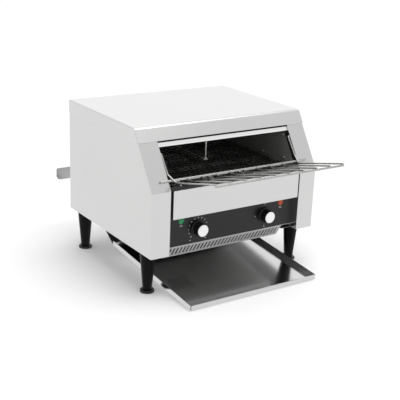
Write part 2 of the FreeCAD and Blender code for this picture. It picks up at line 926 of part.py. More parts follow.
# Flanged bushes in the inner walls
def shaft_bushes():
    bushes = []
    flange = wall_outer + seat_gap
    tail = flange + bush_flange_width + bush_tail
    for y in (idler_y, drive_y):
        barrel = rod_x(y, axle_height, bush_barrel, opening_half - seat_gap, tail)
        collar = rod_x(y, axle_height, bush_flange, flange, flange + bush_flange_width)
        bore = rod_x(y, axle_height, shaft_radius + run_fit, opening_half - overrun, drive_end)
        bush = barrel.fuse(collar).cut(bore)
        bushes += [bush, mirrored(bush)]
    return Part.Compound(bushes)


# Rails that hold the upper run of the belt level, on two cross rods
def belt_rails():
    top = axle_height + belt_inner_radius - rail_gap
    parts = []
    for x in (-rail_spread, 0, rail_spread):
        half = rail_width / 2
        parts.append(block(x - half, x + half, rail_start, rail_end, top - rail_height, top))
    for y in (rail_rod_front, rail_rod_rear):
        parts.append(rod_x(y, top - rail_height, rail_rod, -wall_seat, wall_seat))
    return joined(parts)


# Chain drive: both pitch circles hold a whole number of pitches
def pitch_radius(teeth):
    return teeth * chain_pitch / (2 * math.pi)


def chain_centres():
    big = pitch_radius(driven_teeth)
    small = pitch_radius(motor_teeth)
    length = chain_links * chain_pitch
    distance = length / 2
    for step in range(chain_links):
        lean = math.asin((big - small) / distance)
        wrap = math.pi * (big + small) + 2 * lean * (big - small)
        distance = math.hypot((length - wrap) / 2, big - small)
    return distance


def motor_place():
    fall = axle_height - motor_height
    return drive_y - math.sqrt(chain_centres() ** 2 - fall ** 2), motor_height


# Radii, straight run and the two angles where the chain leaves the sprockets
def chain_line():
    big = pitch_radius(driven_teeth)
    small = pitch_radius(motor_teeth)
    distance = chain_centres()
    lean = math.asin((big - small) / distance)
    towards = math.asin((axle_height - motor_height) / distance) + math.pi
    quarter = math.pi / 2 - lean
    return big, small, distance * math.cos(lean), towards - quarter, towards + quarter


# Place beside a circle: at an angle on it, then some way along the tangent
def beside(centre, radius, angle, along):
    y = centre[0] + radius * math.cos(angle) - along * math.sin(angle)
    z = centre[1] + radius * math.sin(angle) + along * math.cos(angle)
    return y, z


def chain_place(way):
    big, small, straight, low, high = chain_line()
    drive = (drive_y, axle_height)
    on_big = big * (low + 2 * math.pi - high)
    on_small = small * (high - low)
    if way < on_big:
        return beside(drive, big, high + way / big, 0)
    way -= on_big
    if way < straight:
        return beside(drive, big, low, way)
    way -= straight
    if way < on_small:
        return beside(motor_place(), small, low + way / small, 0)
    return beside(motor_place(), small, high, way - on_small)


def roller_places():
    return [chain_place(link * chain_pitch) for link in range(chain_links)]


# Angle of the roller that sits deepest on a sprocket
def roller_phase(centre, radius):
    offsets = [(y - centre[0], z - centre[1]) for y, z in roller_places()]
    near = min(offsets, key=lambda offset: abs(math.hypot(*offset) - radius))
    return math.atan2(near[1], near[0])


# Closed band that follows the chain's line at a distance to one side
def chain_band(offset, x0, x1):
    big, small, straight, low, high = chain_line()
    drive = (drive_y, axle_height)
    motor = motor_place()
    middle = (low + high) / 2
    places = [beside(drive, big + offset, angle, 0) for angle in (high, middle + math.pi, low)]
    places += [beside(motor, small + offset, angle, 0) for angle in (low, middle, high)]
    points = in_yz(places, x0)
    edges = [Part.Arc(*points[:3]).toShape()]
    edges.append(Part.makeLine(points[2], points[3]))
    edges.append(Part.Arc(*points[3:]).toShape())
    edges.append(Part.makeLine(points[5], points[0]))
    return Part.Face(Part.Wire(edges)).extrude(Vec(x1 - x0, 0, 0))


def drive_chain():
    inner = chain_inner_width / 2
    parts = []
    for x0, x1 in ((-inner - chain_plate, -inner), (inner, inner + chain_plate)):
        outside = chain_band(chain_plate_half, chain_x + x0, chain_x + x1)
        parts.append(outside.cut(chain_band(-chain_plate_half, chain_x + x0, chain_x + x1)))
    reach = inner + chain_plate / 2
    for y, z in roller_places():
        parts.append(rod_x(y, z, roller_radius, chain_x - reach, chain_x + reach))
    return joined(parts)


# Chain sprocket with a hub; rollers fit between its teeth
def chain_sprocket(centre, teeth, bore):
    radius = pitch_radius(teeth)
    first = roller_phase(centre, radius) + math.pi / teeth
    root = radius - roller_radius - roller_play
    tooth_half = chain_pitch / 2 - roller_radius - roller_play
    disc = toothed_disc(centre[0], centre[1], chain_x, tooth_width, teeth, root, radius + tooth_tip_rise,
                        tooth_half, tooth_half / 3, first)
    hub_start = chain_x - tooth_width / 2
    hub = rod_x(centre[0], centre[1], chain_hub, hub_start - chain_hub_width / 2, hub_start + tooth_width)
    hole = rod_x(centre[0], centre[1], bore, hub_start - chain_hub_width, hub_start + chain_hub_width)
    return disc.fuse(hub).cut(hole)


# Gear motor on the inside of the right inner wall
def gear_motor():
    y, z = motor_place()
    face = wall_seat
    box_start = face - gearbox_length
    corners = rectangle(y - gearbox_half_y, y + gearbox_half_y, z - gearbox_half_z, z + gearbox_half_z)
    gearbox = slab_x(corners, [gearbox_corner] * len(corners), box_start, face)
    can_start = box_start - motor_can_length
    can = rod_x(y, z, motor_can, can_start, box_start)
    cap = rod_x(y, z, motor_cap, can_start - motor_cap_length, can_start)
    hole = rod_x(y, z, motor_shaft_radius + run_fit, box_start + gearbox_length / 3, face + overrun)
    return joined([gearbox, can, cap]).cut(hole)


def motor_output_shaft():
    y, z = motor_place()
    start = wall_seat - gearbox_length / 2
    return rod_x(y, z, motor_shaft_radius, start, chain_x + chain_hub_width / 2)


# Heater tubes and the ceramic caps that carry them in the walls
def upper_places():
    return [(upper_tube_first + i * upper_tube_pitch, upper_tube_z) for i in range(upper_tubes)]


def lower_places():
    return [(lower_tube_first + i * lower_tube_pitch, lower_tube_z) for i in range(lower_tubes)]


def tube_places():
    return upper_places() + lower_places()


def heater_tubes(places):
    tubes = []
    for y, z in places:
        inside = rod_x(y, z, tube_radius - tube_wall, -tube_end - overrun, tube_end + overrun)
        tubes.append(rod_x(y, z, tube_radius, -tube_end, tube_end).cut(inside))
    return Part.Compound(tubes)


def heater_end_caps():
    caps = []
    flange = wall_outer + run_fit
    end = flange + cap_flange_width + cap_tail
    for y, z in tube_places():
        barrel = rod_x(y, z, cap_barrel, opening_half - seat_gap, end)
        collar = rod_x(y, z, cap_flange, flange, flange + cap_flange_width)
        bore = rod_x(y, z, tube_radius + run_fit, opening_half - overrun, tube_end + run_fit)
        cap = barrel.fuse(collar).cut(bore)
        caps += [cap, mirrored(cap)]
    return Part.Compound(caps)


# Wires that keep bread off the upper tubes
def heater_guard():
    cross_z = guard_height + guard_wire + wire_radius - weld
    parts = []
    for step in (-2, -1, 1, 2):
        parts.append(rod_y(step * guard_spread, guard_height, guard_wire, guard_front, guard_rear))
    for y in (guard_front, guard_rear):
        parts.append(rod_x(y, cross_z, wire_radius, -wall_seat, wall_seat))
    return joined(parts)


# Bent wire that hangs in the middle and parts the two lanes, with a small foot at its front bend
def lane_divider():
    top = reflector_low - seat_gap
    points = [Vec(0, divider_front, top), Vec(0, divider_front, divider_height)]
    points += [Vec(0, divider_rear, divider_height), Vec(0, divider_rear, top)]
    wire = bent_wire(points, [divider_bend, divider_bend], wire_radius)
    low = divider_height - wire_radius
    foot = [(-divider_foot_half, low), (divider_foot_half, low), (0, low + divider_foot_rise)]
    plate = slab_y(foot, [0] * len(foot), divider_front - wire_radius, divider_front)
    return joined([wire, plate])


# Cooling fan on the floor of the vented pan
def fan_low():
    return pan_low + pan_sheet + seat_gap


def fan_frame():
    low = fan_low()
    half = fan_size / 2
    corners = rectangle(fan_x - half, fan_x + half, fan_y - half, fan_y + half)
    body = slab_z(corners, [fan_corner] * len(corners), low, low + fan_depth)
    body = body.cut(rod_z(fan_x, fan_y, fan_bore, low - overrun, low + fan_depth + overrun))
    parts = [body, rod_z(fan_x, fan_y, fan_hub, low, low + fan_hub_height)]
    for i in range(fan_struts):
        strut = block(0, fan_bore + weld, -fan_strut / 2, fan_strut / 2, 0, fan_hub_height)
        strut.rotate(Vec(0, 0, 0), Vec(0, 0, 1), math.degrees(2 * math.pi * i / fan_struts))
        strut.translate(Vec(fan_x, fan_y, low))
        parts.append(strut)
    return joined(parts)


def fan_rotor():
    low = fan_low() + fan_hub_height + seat_gap
    high = fan_low() + fan_depth - fan_hub_height
    depth = high - low
    hub = rod_z(fan_x, fan_y, fan_hub, low, high)
    parts = [hub]
    tilt = math.radians(fan_blade_tilt)
    blade_width = (depth - fan_blade_thickness) / math.sin(tilt) - fan_blade_thickness
    for i in range(fan_blades):
        blade = block(fan_hub - weld, fan_blade_tip, -blade_width / 2, blade_width / 2,
                      -fan_blade_thickness / 2, fan_blade_thickness / 2)
        blade.rotate(Vec(0, 0, 0), Vec(1, 0, 0), fan_blade_tilt)
        blade.rotate(Vec(0, 0, 0), Vec(0, 0, 1), math.degrees(2 * math.pi * i / fan_blades))
        blade.translate(Vec(fan_x, fan_y, (low + high) / 2))
        parts.append(blade)
    swept = rod_z(fan_x, fan_y, fan_blade_tip, low, high)
    return joined(parts).common(swept)


# Knob: a skirt, a grip and a thin metal cap, on the stem of its control
def knob(side):
    x = side * control_x
    skirt_front = knob_back - knob_skirt_height
    base = Vec(x, knob_back, control_z)
    skirt = Part.makeCone(knob_skirt, knob_grip, knob_skirt_height, base, Vec(0, -1, 0))
    grip_front = knob_front + knob_cap_height
    grip = rod_y(x, control_z, knob_grip, grip_front, skirt_front)
    rim = [edge for edge in grip.Edges if abs(edge.BoundBox.YMax - grip_front) < join_tolerance]
    grip = grip.makeFillet(knob_edge / 2, rim)
    bore = rod_y(x, control_z, stem_radius, knob_back - knob_bore_depth, knob_back + overrun)
    return joined([skirt, grip]).cut(bore)


def knob_cap(side):
    return rod_y(side * control_x, control_z, knob_cap_radius, knob_front, knob_front + knob_cap_height)


def control_stem(side, depth):
    return rod_y(side * control_x, control_z, stem_radius, knob_back - knob_bore_depth, panel_back + depth)


def control_body(side, size, depth):
    x = side * control_x
    half = size / 2
    corners = rectangle(x - half, x + half, control_z - half, control_z + half)
    body = slab_y(corners, [switch_corner] * len(corners), panel_back, panel_back + depth)
    bore_end = panel_back + stem_tail + run_fit
    return body.cut(rod_y(x, control_z, stem_radius + run_fit, panel_back - overrun, bore_end))


# Pilot lamps: a domed lens in front, a lamp body behind
def lamp_lens_piece(side):
    x = side * lamp_x
    base = rod_y(x, lamp_z, lamp_lens, pillar_return - lamp_rim, pillar_return)
    ball = (lamp_lens ** 2 + lamp_dome ** 2) / (2 * lamp_dome)
    centre = pillar_return - lamp_rim - lamp_dome + ball
    dome = Part.makeSphere(ball, Vec(x, centre, lamp_z))
    dome = dome.common(rod_y(x, lamp_z, lamp_lens, centre - ball, pillar_return - lamp_rim))
    neck = rod_y(x, lamp_z, lamp_neck, pillar_return, panel_back)
    return joined([base, dome, neck])


def lamp_bodies():
    rear = panel_back + lamp_body_depth
    return Part.Compound([rod_y(side * lamp_x, lamp_z, lamp_body, panel_back, rear) for side in (-1, 1)])


# Terminal block on the bottom panel and cable gland in the back panel
def terminal_block():
    low = floor_top + seat_gap
    half = block_length / 2
    body = block(-half, half, block_front, block_front + block_depth, low, low + block_height)
    pitch = block_length / block_ways
    tools = []
    for i in range(block_ways):
        x = (i + 1 / 2) * pitch - half
        for y in (block_front + block_depth / 4, block_front + block_depth * 3 / 4):
            tools.append(rod_z(x, y, block_screw, low + block_height / 2, low + block_height + overrun))
    return without(body, tools)


def cable_gland():
    outer = body_depth + seat_gap
    inner = back_inner - seat_gap
    start = inner - gland_nut_width - gland_tail
    parts = [rod_y(gland_x, gland_z, gland_thread, start, outer)]
    parts.append(rod_y(gland_x, gland_z, gland_nut, outer, outer + gland_nut_width))
    parts.append(rod_y(gland_x, gland_z, gland_nose, outer, outer + gland_length))
    parts.append(rod_y(gland_x, gland_z, gland_nut, inner - gland_nut_width, inner))
    bore = rod_y(gland_x, gland_z, gland_bore, start - overrun, outer + gland_length + overrun)
    return joined(parts).cut(bore)


# Legs, levelling feet and the bolts that hold the legs
def leg_places():
    return [(x, y) for y in (leg_front_y, leg_rear_y) for x in (-leg_x, leg_x)]


def leg(x, y):
    cone = Part.makeCone(leg_low_radius, leg_top_radius, body_bottom - leg_low, Vec(x, y, leg_low))
    foot_bore = rod_z(x, y, foot_stud + run_fit, leg_low - overrun, foot_stud_top + run_fit)
    bolt_bore = rod_z(x, y, bolt_radius + run_fit, bolt_bottom - run_fit, body_bottom + overrun)
    return without(cone, [foot_bore, bolt_bore])


def levelling_foot(x, y):
    disc = rod_z(x, y, foot_radius, 0, foot_height)
    upper = [edge for edge in disc.Edges if abs(edge.BoundBox.ZMin - foot_height) < join_tolerance]
    disc = disc.makeChamfer(foot_edge, upper)
    notches = []
    for i in range(foot_notches):
        angle = 2 * math.pi * i / foot_notches
        at_x = x + foot_radius * math.cos(angle)
        at_y = y + foot_radius * math.sin(angle)
        notches.append(rod_z(at_x, at_y, foot_notch, foot_edge, foot_height + overrun))
    neck = rod_z(x, y, foot_neck, foot_height - weld, leg_low - seat_gap)
    stud = rod_z(x, y, foot_stud, foot_height - weld, foot_stud_top)
    return joined([without(disc, notches), neck, stud])


def leg_bolts():
    bolts = []
    for x, y in leg_places():
        head = rod_z(x, y, bolt_head, floor_top, floor_top + bolt_head_height)
        bolts.append(head.fuse(rod_z(x, y, bolt_radius, bolt_bottom, floor_top)))
    return Part.Compound(bolts)


# Rear spacer: a flat bar on two arms
def rear_spacer():
    foot_y = body_depth + seat_gap
    bar_front = rear_face - spacer_sheet
    low = spacer_low_corner
    high = spacer_high_corner
    corners = rectangle(-half_width, half_width, spacer_low, spacer_high)
    parts = [slab_y(corners, [low, low, high, high], bar_front, rear_face)]
    arm_low = spacer_low + spacer_arm_inset
    arm_high = spacer_high - spacer_arm_inset
    for side in (-1, 1):
        arm_low_x, arm_high_x = sorted((side * spacer_arm_x, side * (spacer_arm_x - spacer_sheet)))
        foot_low_x, foot_high_x = sorted((side * spacer_arm_x, side * (spacer_arm_x - spacer_foot)))
        parts.append(block(arm_low_x, arm_high_x, foot_y, bar_front, arm_low, arm_high))
        parts.append(block(foot_low_x, foot_high_x, foot_y, foot_y + spacer_sheet, arm_low, arm_high))
    return without(joined(parts), [screw_hole_y(x, z) for x, z in spacer_screw_places()])


# All screws of the casing and of the inner walls
def casing_screws():
    screws = []
    for x, z in lid_screw_places():
        screws.append(screw_into_front(x, body_depth + seat_gap + sheet, z))
    for x, z in back_screw_places():
        screws.append(screw_into_front(x, body_depth, z))
    for x, z in spacer_screw_places():
        screws.append(screw_into_front(x, body_depth + seat_gap + spacer_sheet, z))
    for y, z in wall_screw_places:
        screw = screw_outwards(opening_half, y, z)
        screws += [screw, mirrored(screw)]
    return Part.Compound(screws)


# Every piece under its own name
def all_pieces():
    motor = motor_place()
    drive = (drive_y, axle_height)
    left_panel = side_panel()
    pieces = {
        "side_panel_left": left_panel,
        "side_panel_right": mirrored(left_panel),
        "top_cover": top_cover(),
        "back_panel": back_panel(),
        "bottom_panel": bottom_panel(),
        "front_plate": front_plate(),
        "control_panel": control_panel(),
        "vent_pan": vent_pan(),
        "upper_lip": upper_lip(),
        "inner_wall_left": inner_wall(-1),
        "inner_wall_right": inner_wall(1),
        "upper_reflector": upper_reflector(),
        "lower_reflector": lower_reflector(),
        "heat_shield": heat_shield(),
        "toast_chute": toast_chute(),
        "toast_tray": toast_tray(),
        "loading_rack": loading_rack(),
        "conveyor_belt": conveyor_belt(),
        "drive_shaft": shaft(drive_y, drive_end),
        "idler_shaft": shaft(idler_y, shaft_end),
        "drive_sprockets": belt_sprockets(drive_y),
        "idler_sprockets": belt_sprockets(idler_y),
        "shaft_bushes": shaft_bushes(),
        "belt_rails": belt_rails(),
        "gear_motor": gear_motor(),
        "motor_output_shaft": motor_output_shaft(),
        "motor_sprocket": chain_sprocket(motor, motor_teeth, motor_shaft_radius),
        "driven_sprocket": chain_sprocket(drive, driven_teeth, shaft_radius),
        "drive_chain": drive_chain(),
        "upper_heater_tubes": heater_tubes(upper_places()),
        "lower_heater_tubes": heater_tubes(lower_places()),
        "heater_end_caps": heater_end_caps(),
        "heater_guard": heater_guard(),
        "lane_divider": lane_divider(),
        "fan_frame": fan_frame(),
        "fan_rotor": fan_rotor(),
        "speed_control": control_body(-1, switch_size, switch_depth),
        "selector_switch": control_body(1, selector_size, selector_depth),
        "speed_control_stem": control_stem(-1, stem_tail),
        "selector_stem": control_stem(1, stem_tail),
        "speed_knob": knob(-1),
        "speed_knob_cap": knob_cap(-1),
        "selector_knob": knob(1),
        "selector_knob_cap": knob_cap(1),
        "power_lamp_lens": lamp_lens_piece(-1),
        "heating_lamp_lens": lamp_lens_piece(1),
        "lamp_bodies": lamp_bodies(),
        "terminal_block": terminal_block(),
        "cable_gland": cable_gland(),
        "leg_bolts": leg_bolts(),
        "rear_spacer": rear_spacer(),
        "casing_screws": casing_screws(),
    }
    corner_names = ("front_left", "front_right", "rear_left", "rear_right")
    for name, (x, y) in zip(corner_names, leg_places()):
        pieces["leg_" + name] = leg(x, y)
        pieces["levelling_foot_" + name] = levelling_foot(x, y)
    return pieces


def main():
    os.makedirs("parts", exist_ok=True)
    for name, piece in all_pieces().items():
        piece = piece.copy()
        piece.translate(Vec(0, -centre_y, 0))
        piece.exportStep("parts/" + name + ".step")
        print(name, "solids", len(piece.Solids), "volume", round(piece.Volume, 1), "valid", piece.isValid())
    motor_y, motor_z = motor_place()
    print("motor shaft at", round(motor_y - centre_y, 4), round(motor_z, 4))
    print("rack hinge at", round(hook_y() - centre_y, 4), hook_height)


main()
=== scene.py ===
import bpy
import bmesh
import math
from mathutils import Matrix, Vector


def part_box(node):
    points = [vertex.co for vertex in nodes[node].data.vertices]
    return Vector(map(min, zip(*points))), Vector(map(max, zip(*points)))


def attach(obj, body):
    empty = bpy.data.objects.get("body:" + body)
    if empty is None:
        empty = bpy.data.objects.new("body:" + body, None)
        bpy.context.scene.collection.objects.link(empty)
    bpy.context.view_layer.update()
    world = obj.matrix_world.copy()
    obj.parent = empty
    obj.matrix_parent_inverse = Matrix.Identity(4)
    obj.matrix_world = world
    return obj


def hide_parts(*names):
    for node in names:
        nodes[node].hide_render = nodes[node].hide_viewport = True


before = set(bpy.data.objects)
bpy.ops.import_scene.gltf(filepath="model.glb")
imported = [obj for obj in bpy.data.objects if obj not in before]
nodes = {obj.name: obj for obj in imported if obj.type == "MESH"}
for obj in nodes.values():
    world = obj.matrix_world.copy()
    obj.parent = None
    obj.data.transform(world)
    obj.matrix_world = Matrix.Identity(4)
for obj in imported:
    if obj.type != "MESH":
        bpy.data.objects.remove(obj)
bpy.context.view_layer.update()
mm = 0.001
offMiddle = 0.01  # millimetres from a piece's middle plane from which a vertex belongs to an end
print("frame loaded with", len(nodes), "nodes")


# Small tools that every piece uses; pieces are shaped in millimetres round the origin
def deselectAll():
    if bpy.context.object and bpy.context.object.mode != "OBJECT":
        bpy.ops.object.mode_set(mode="OBJECT")
    bpy.ops.object.select_all(action="DESELECT")


def activate(piece):
    deselectAll()
    piece.select_set(True)
    bpy.context.view_layer.objects.active = piece


def middleOf(node):
    low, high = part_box(node)
    return (low + high) / 2


def newPiece(name):  # the primitive that was just added
    piece = bpy.context.object
    piece.name = name
    piece.data.name = name
    return piece


def pick(piece, test):  # selects vertices by their place
    activate(piece)
    bpy.ops.object.mode_set(mode="EDIT")
    bpy.ops.mesh.select_mode(type="VERT")
    bpy.ops.mesh.select_all(action="DESELECT")
    mesh = bmesh.from_edit_mesh(piece.data)
    for corner in mesh.verts:
        corner.select_set(test(corner.co))
    bmesh.update_edit_mesh(piece.data)


def pickEnd(piece, end):  # end is -1 or 1, along X
    pick(piece, lambda corner: corner.x * end > offMiddle)


def done():
    bpy.ops.object.mode_set(mode="OBJECT")


def cleaned(piece, gap=0.0005):
    activate(piece)
    bpy.ops.object.mode_set(mode="EDIT")
    bpy.ops.mesh.select_all(action="SELECT")
    bpy.ops.mesh.remove_doubles(threshold=gap)
    bpy.ops.mesh.normals_make_consistent(inside=False)
    done()
    return piece


def applied(piece, kind, **settings):
    activate(piece)
    modifier = piece.modifiers.new(kind.title(), kind)
    for key, value in settings.items():
        setattr(modifier, key, value)
    bpy.ops.object.modifier_apply(modifier=modifier.name)
    return piece


def placed(piece, centre, turn=(0, 0, 0), size=mm):  # from round the origin to its place in the frame
    activate(piece)
    piece.rotation_euler = turn
    piece.scale = (size, size, size)
    piece.location = centre
    bpy.ops.object.transform_apply(location=True, rotation=True, scale=True)
    return piece


def joined(pieces, name):
    activate(pieces[0])
    for piece in pieces:
        piece.select_set(True)
    if len(pieces) > 1:
        bpy.ops.object.join()
    return newPiece(name)


def copies(master, places, name):  # places are (centre, turn) pairs in the frame
    made = []
    for centre, turn in places:
        copy = master.copy()
        copy.data = master.data.copy()
        bpy.context.scene.collection.objects.link(copy)
        made.append(placed(copy, centre, turn))
    bpy.data.objects.remove(master)
    return joined(made, name)


def turned(name, sides, steps):  # a lathe shape along Z from (radius, height) steps, closed at both ends
    deselectAll()
    radius, height = steps[0]
    bpy.ops.mesh.primitive_circle_add(vertices=sides, radius=radius, fill_type="NGON",
                                      location=(0, 0, height))
    piece = newPiece(name)
    bpy.ops.object.transform_apply(location=True)
    bpy.ops.object.mode_set(mode="EDIT")
    bpy.ops.mesh.select_all(action="SELECT")
    for nextRadius, nextHeight in steps[1:]:
        bpy.ops.mesh.extrude_region_move(TRANSFORM_OT_translate={"value": (0, 0, nextHeight - height)})
        share = nextRadius / radius
        bpy.ops.transform.resize(value=(share, share, 1), center_override=(0, 0, nextHeight))
        radius, height = nextRadius, nextHeight
    bpy.ops.mesh.select_all(action="SELECT")
    bpy.ops.mesh.normals_make_consistent(inside=False)
    done()
    return piece


def wires(name, lines, radius, sides=1):  # round wires along lists of points, in the frame
    curve = bpy.data.curves.new(name, "CURVE")
    curve.dimensions = "3D"
    curve.bevel_depth = radius
    curve.bevel_resolution = sides
    curve.use_fill_caps = True
    for points in lines:
        spline = curve.splines.new("POLY")
        spline.points.add(len(points) - 1)
        for point, at in zip(spline.points, points):
            point.co = (*at, 1)
    piece = bpy.data.objects.new(name, curve)
    bpy.context.scene.collection.objects.link(piece)
    activate(piece)
    bpy.ops.object.convert(target="MESH")
    piece = newPiece(name)
    return cleaned(piece, radius / 100)


def finished(piece, material, body, stands=(), smooth=35):
    piece.data.materials.clear()
    piece.data.materials.append(material)
    activate(piece)
    bpy.ops.object.shade_smooth_by_angle(angle=math.radians(smooth))
    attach(piece, body)
    if stands:
        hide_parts(*stands)
    return piece


towardsFront = (math.pi / 2, 0, 0)  # turns a lathe shape's Z to the front of the toaster


# Finishes: colours and roughness are pairs, from the noise's low places to its high ones
finishes = {
    "caseSteelUp": {"metal": 1, "colour": ((0.64, 0.64, 0.638), (0.68, 0.68, 0.676)),
                    "rough": (0.2, 0.26),
                    "grain": (1500, 1500, 6), "bump": 0.006, "cloud": 4},
    "caseSteelAcross": {"metal": 1, "colour": ((0.65, 0.65, 0.648), (0.70, 0.70, 0.696)),
                        "rough": (0.28, 0.34),
                        "grain": (6, 1500, 1500), "bump": 0.006, "cloud": 4},
    "lidSteel": {"metal": 1, "colour": ((0.665, 0.665, 0.663), (0.705, 0.705, 0.70)),
                 "rough": (0.3, 0.36),
                 "grain": (6, 1500, 1500), "bump": 0.006, "cloud": 4},
    # painted light: the lip's steel is a much lighter copy of the case steel, standing in for the light the
    # lip catches
    "lipSteelPaintedLight": {"metal": 1, "colour": ((0.91, 0.91, 0.908), (0.95, 0.95, 0.945)), "rough": (0.14, 0.2),
                 "grain": (6, 1500, 1500), "bump": 0.004, "cloud": 4},
    "panSteel": {"metal": 0.3, "colour": ((0.50, 0.50, 0.50), (0.58, 0.58, 0.578)),
                 "rough": (0.45, 0.55),
                 "grain": (300, 900, 900), "bump": 0.02, "cloud": 10},
    # painted shade: the bottom panel's steel is made near-black to stand in for the shadow under the body
    "baseSteelPaintedShade": {"metal": 1, "colour": ((0.13, 0.13, 0.129), (0.18, 0.18, 0.178)), "rough": (0.4, 0.5),
                  "grain": (60, 900, 900), "bump": 0.02, "cloud": 8},
    "chamberSteel": {"metal": 0.7, "colour": ((0.34, 0.338, 0.33), (0.44, 0.436, 0.425)),
                     "rough": (0.42, 0.54),
                     "grain": (60, 900, 900), "bump": 0.02, "cloud": 7},
    # painted shade: near-black steel on the reflectors and heat shield, standing in for the shade deep in the
    # chamber
    "reflectorSteelPaintedShade": {"metal": 1, "colour": ((0.055, 0.053, 0.05), (0.10, 0.097, 0.092)),
                   "rough": (0.4, 0.55),
                   "grain": (60, 900, 900), "bump": 0.02, "cloud": 9},
    "chuteSteel": {"metal": 1, "colour": ((0.36, 0.36, 0.357), (0.44, 0.44, 0.436)),
                   "rough": (0.36, 0.46),
                   "grain": (6, 1200, 1200), "bump": 0.01, "cloud": 7},
    "traySteel": {"metal": 1, "colour": ((0.60, 0.60, 0.597), (0.64, 0.64, 0.636)),
                  "rough": (0.12, 0.18),
                  "grain": (6, 1200, 1200), "bump": 0.003, "cloud": 6},
    "rackWire": {"metal": 1, "colour": ((0.40, 0.397, 0.39), (0.52, 0.515, 0.505)), "rough": (0.2, 0.32),
                 "grain": (300, 300, 300), "bump": 0.015, "cloud": 25},
    # painted light: the lane divider's wire is a lighter copy of the rack wire, standing in for the light it
    # catches
    "dividerWirePaintedLight": {"metal": 0.8, "colour": ((0.74, 0.735, 0.72), (0.84, 0.835, 0.82)),
                   "rough": (0.3, 0.4),
                   "grain": (300, 300, 300), "bump": 0.015, "cloud": 25},
    # painted shade: the belt's wire is darkened to stand in for the shade inside the chamber
    "beltWirePaintedShade": {"metal": 1, "colour": ((0.09, 0.088, 0.083), (0.19, 0.186, 0.178)),
                 "rough": (0.32, 0.5),
                 "grain": (400, 400, 400), "bump": 0.03, "cloud": 18},
    "shaftSteel": {"metal": 1, "colour": ((0.42, 0.42, 0.41), (0.56, 0.56, 0.55)), "rough": (0.22, 0.36),
                   "grain": (900, 120, 120), "bump": 0.02, "cloud": 20},
    "chainSteel": {"metal": 1, "colour": ((0.20, 0.195, 0.185), (0.32, 0.31, 0.295)),
                   "rough": (0.3, 0.45),
                   "grain": (400, 400, 400), "bump": 0.03, "cloud": 30},
    "sinteredBronze": {"metal": 1, "colour": ((0.50, 0.32, 0.15), (0.64, 0.42, 0.2)),
                       "rough": (0.35, 0.5),
                       "grain": (1500, 1500, 1500), "bump": 0.05, "cloud": 40},
    "boltSteel": {"metal": 1, "colour": ((0.46, 0.46, 0.45), (0.60, 0.60, 0.58)), "rough": (0.25, 0.4),
                  "grain": (500, 500, 500), "bump": 0.02, "cloud": 40},
    "panelBlack": {"metal": 0, "colour": ((0.0026, 0.0028, 0.0034), (0.0042, 0.0045, 0.0052)),
                   "rough": (0.28, 0.34),
                   "grain": (1500, 1500, 1500), "bump": 0.02, "cloud": 5, "shine": 0.4},
    "legPlastic": {"metal": 0, "colour": ((0.0018, 0.0018, 0.002), (0.003, 0.003, 0.0033)),
                   "rough": (0.26, 0.36),
                   "grain": (1500, 1500, 1500), "bump": 0.03, "cloud": 12, "shine": 0.1},
    "knobPlastic": {"metal": 0, "colour": ((0.003, 0.003, 0.0034), (0.006, 0.006, 0.0066)),
                    "rough": (0.16, 0.24),
                    "grain": (1500, 1500, 1500), "bump": 0.02, "cloud": 20, "shine": 0.4},
    "capMetal": {"metal": 1, "colour": ((0.86, 0.86, 0.858), (0.92, 0.92, 0.915)), "rough": (0.3, 0.4),
                 "grain": (900, 900, 900), "bump": 0.012, "cloud": 30},
    "fanPlastic": {"metal": 0, "colour": ((0.012, 0.012, 0.013), (0.02, 0.02, 0.021)),
                   "rough": (0.4, 0.55),
                   "grain": (1200, 1200, 1200), "bump": 0.04, "cloud": 20},
    "switchPlastic": {"metal": 0, "colour": ((0.03, 0.03, 0.032), (0.05, 0.05, 0.052)),
                      "rough": (0.38, 0.5),
                      "grain": (1200, 1200, 1200), "bump": 0.04, "cloud": 20},
    "motorPaint": {"metal": 0, "colour": ((0.20, 0.21, 0.215), (0.27, 0.28, 0.285)),
                   "rough": (0.38, 0.5),
                   "grain": (800, 800, 800), "bump": 0.08, "cloud": 16},
    "ceramic": {"metal": 0, "colour": ((0.60, 0.57, 0.51), (0.72, 0.70, 0.64)), "rough": (0.5, 0.65),
                "grain": (1200, 1200, 1200), "bump": 0.06, "cloud": 30},
    "quartz": {"metal": 0, "colour": ((0.80, 0.78, 0.74), (0.90, 0.89, 0.86)), "rough": (0.18, 0.3),
               "grain": (90, 300, 300), "bump": 0.02, "cloud": 10, "through": 0.85, "ior": 1.46},
    "coilWire": {"metal": 1, "colour": ((0.30, 0.27, 0.24), (0.46, 0.42, 0.38)), "rough": (0.35, 0.5),
                 "grain": (600, 600, 600), "bump": 0.02, "cloud": 30},
    "greenLens": {"metal": 0, "colour": ((0.010, 0.22, 0.075), (0.02, 0.30, 0.11)),
                  "rough": (0.16, 0.22),
                  "grain": (600, 600, 600), "bump": 0.02, "cloud": 120},
    "orangeLens": {"metal": 0, "colour": ((0.40, 0.035, 0.006), (0.62, 0.085, 0.012)),
                   "rough": (0.12, 0.18),
                   "grain": (600, 600, 600), "bump": 0.02, "cloud": 120},
    "panelPrint": {"metal": 0, "colour": ((0.62, 0.62, 0.62), (0.74, 0.74, 0.74)), "rough": (0.45, 0.55),
                   "grain": (1500, 1500, 1500), "bump": 0.02, "cloud": 40},
    "terminalPlastic": {"metal": 0, "colour": ((0.62, 0.60, 0.54), (0.72, 0.70, 0.64)),
                        "rough": (0.4, 0.5),
                        "grain": (1200, 1200, 1200), "bump": 0.03, "cloud": 20},
    "footRubber": {"metal": 0, "colour": ((0.004, 0.004, 0.004), (0.008, 0.008, 0.008)),
                   "rough": (0.36, 0.48),
                   "grain": (1500, 1500, 1500), "bump": 0.06, "cloud": 20, "shine": 0.35},
}


plainShine = 0.5
noise = {
    "grainDetail": 3,
    "cloudDetail": 4,
    "cloudShare": 0.5,
    "from": 0.3,
    "to": 0.7,
}


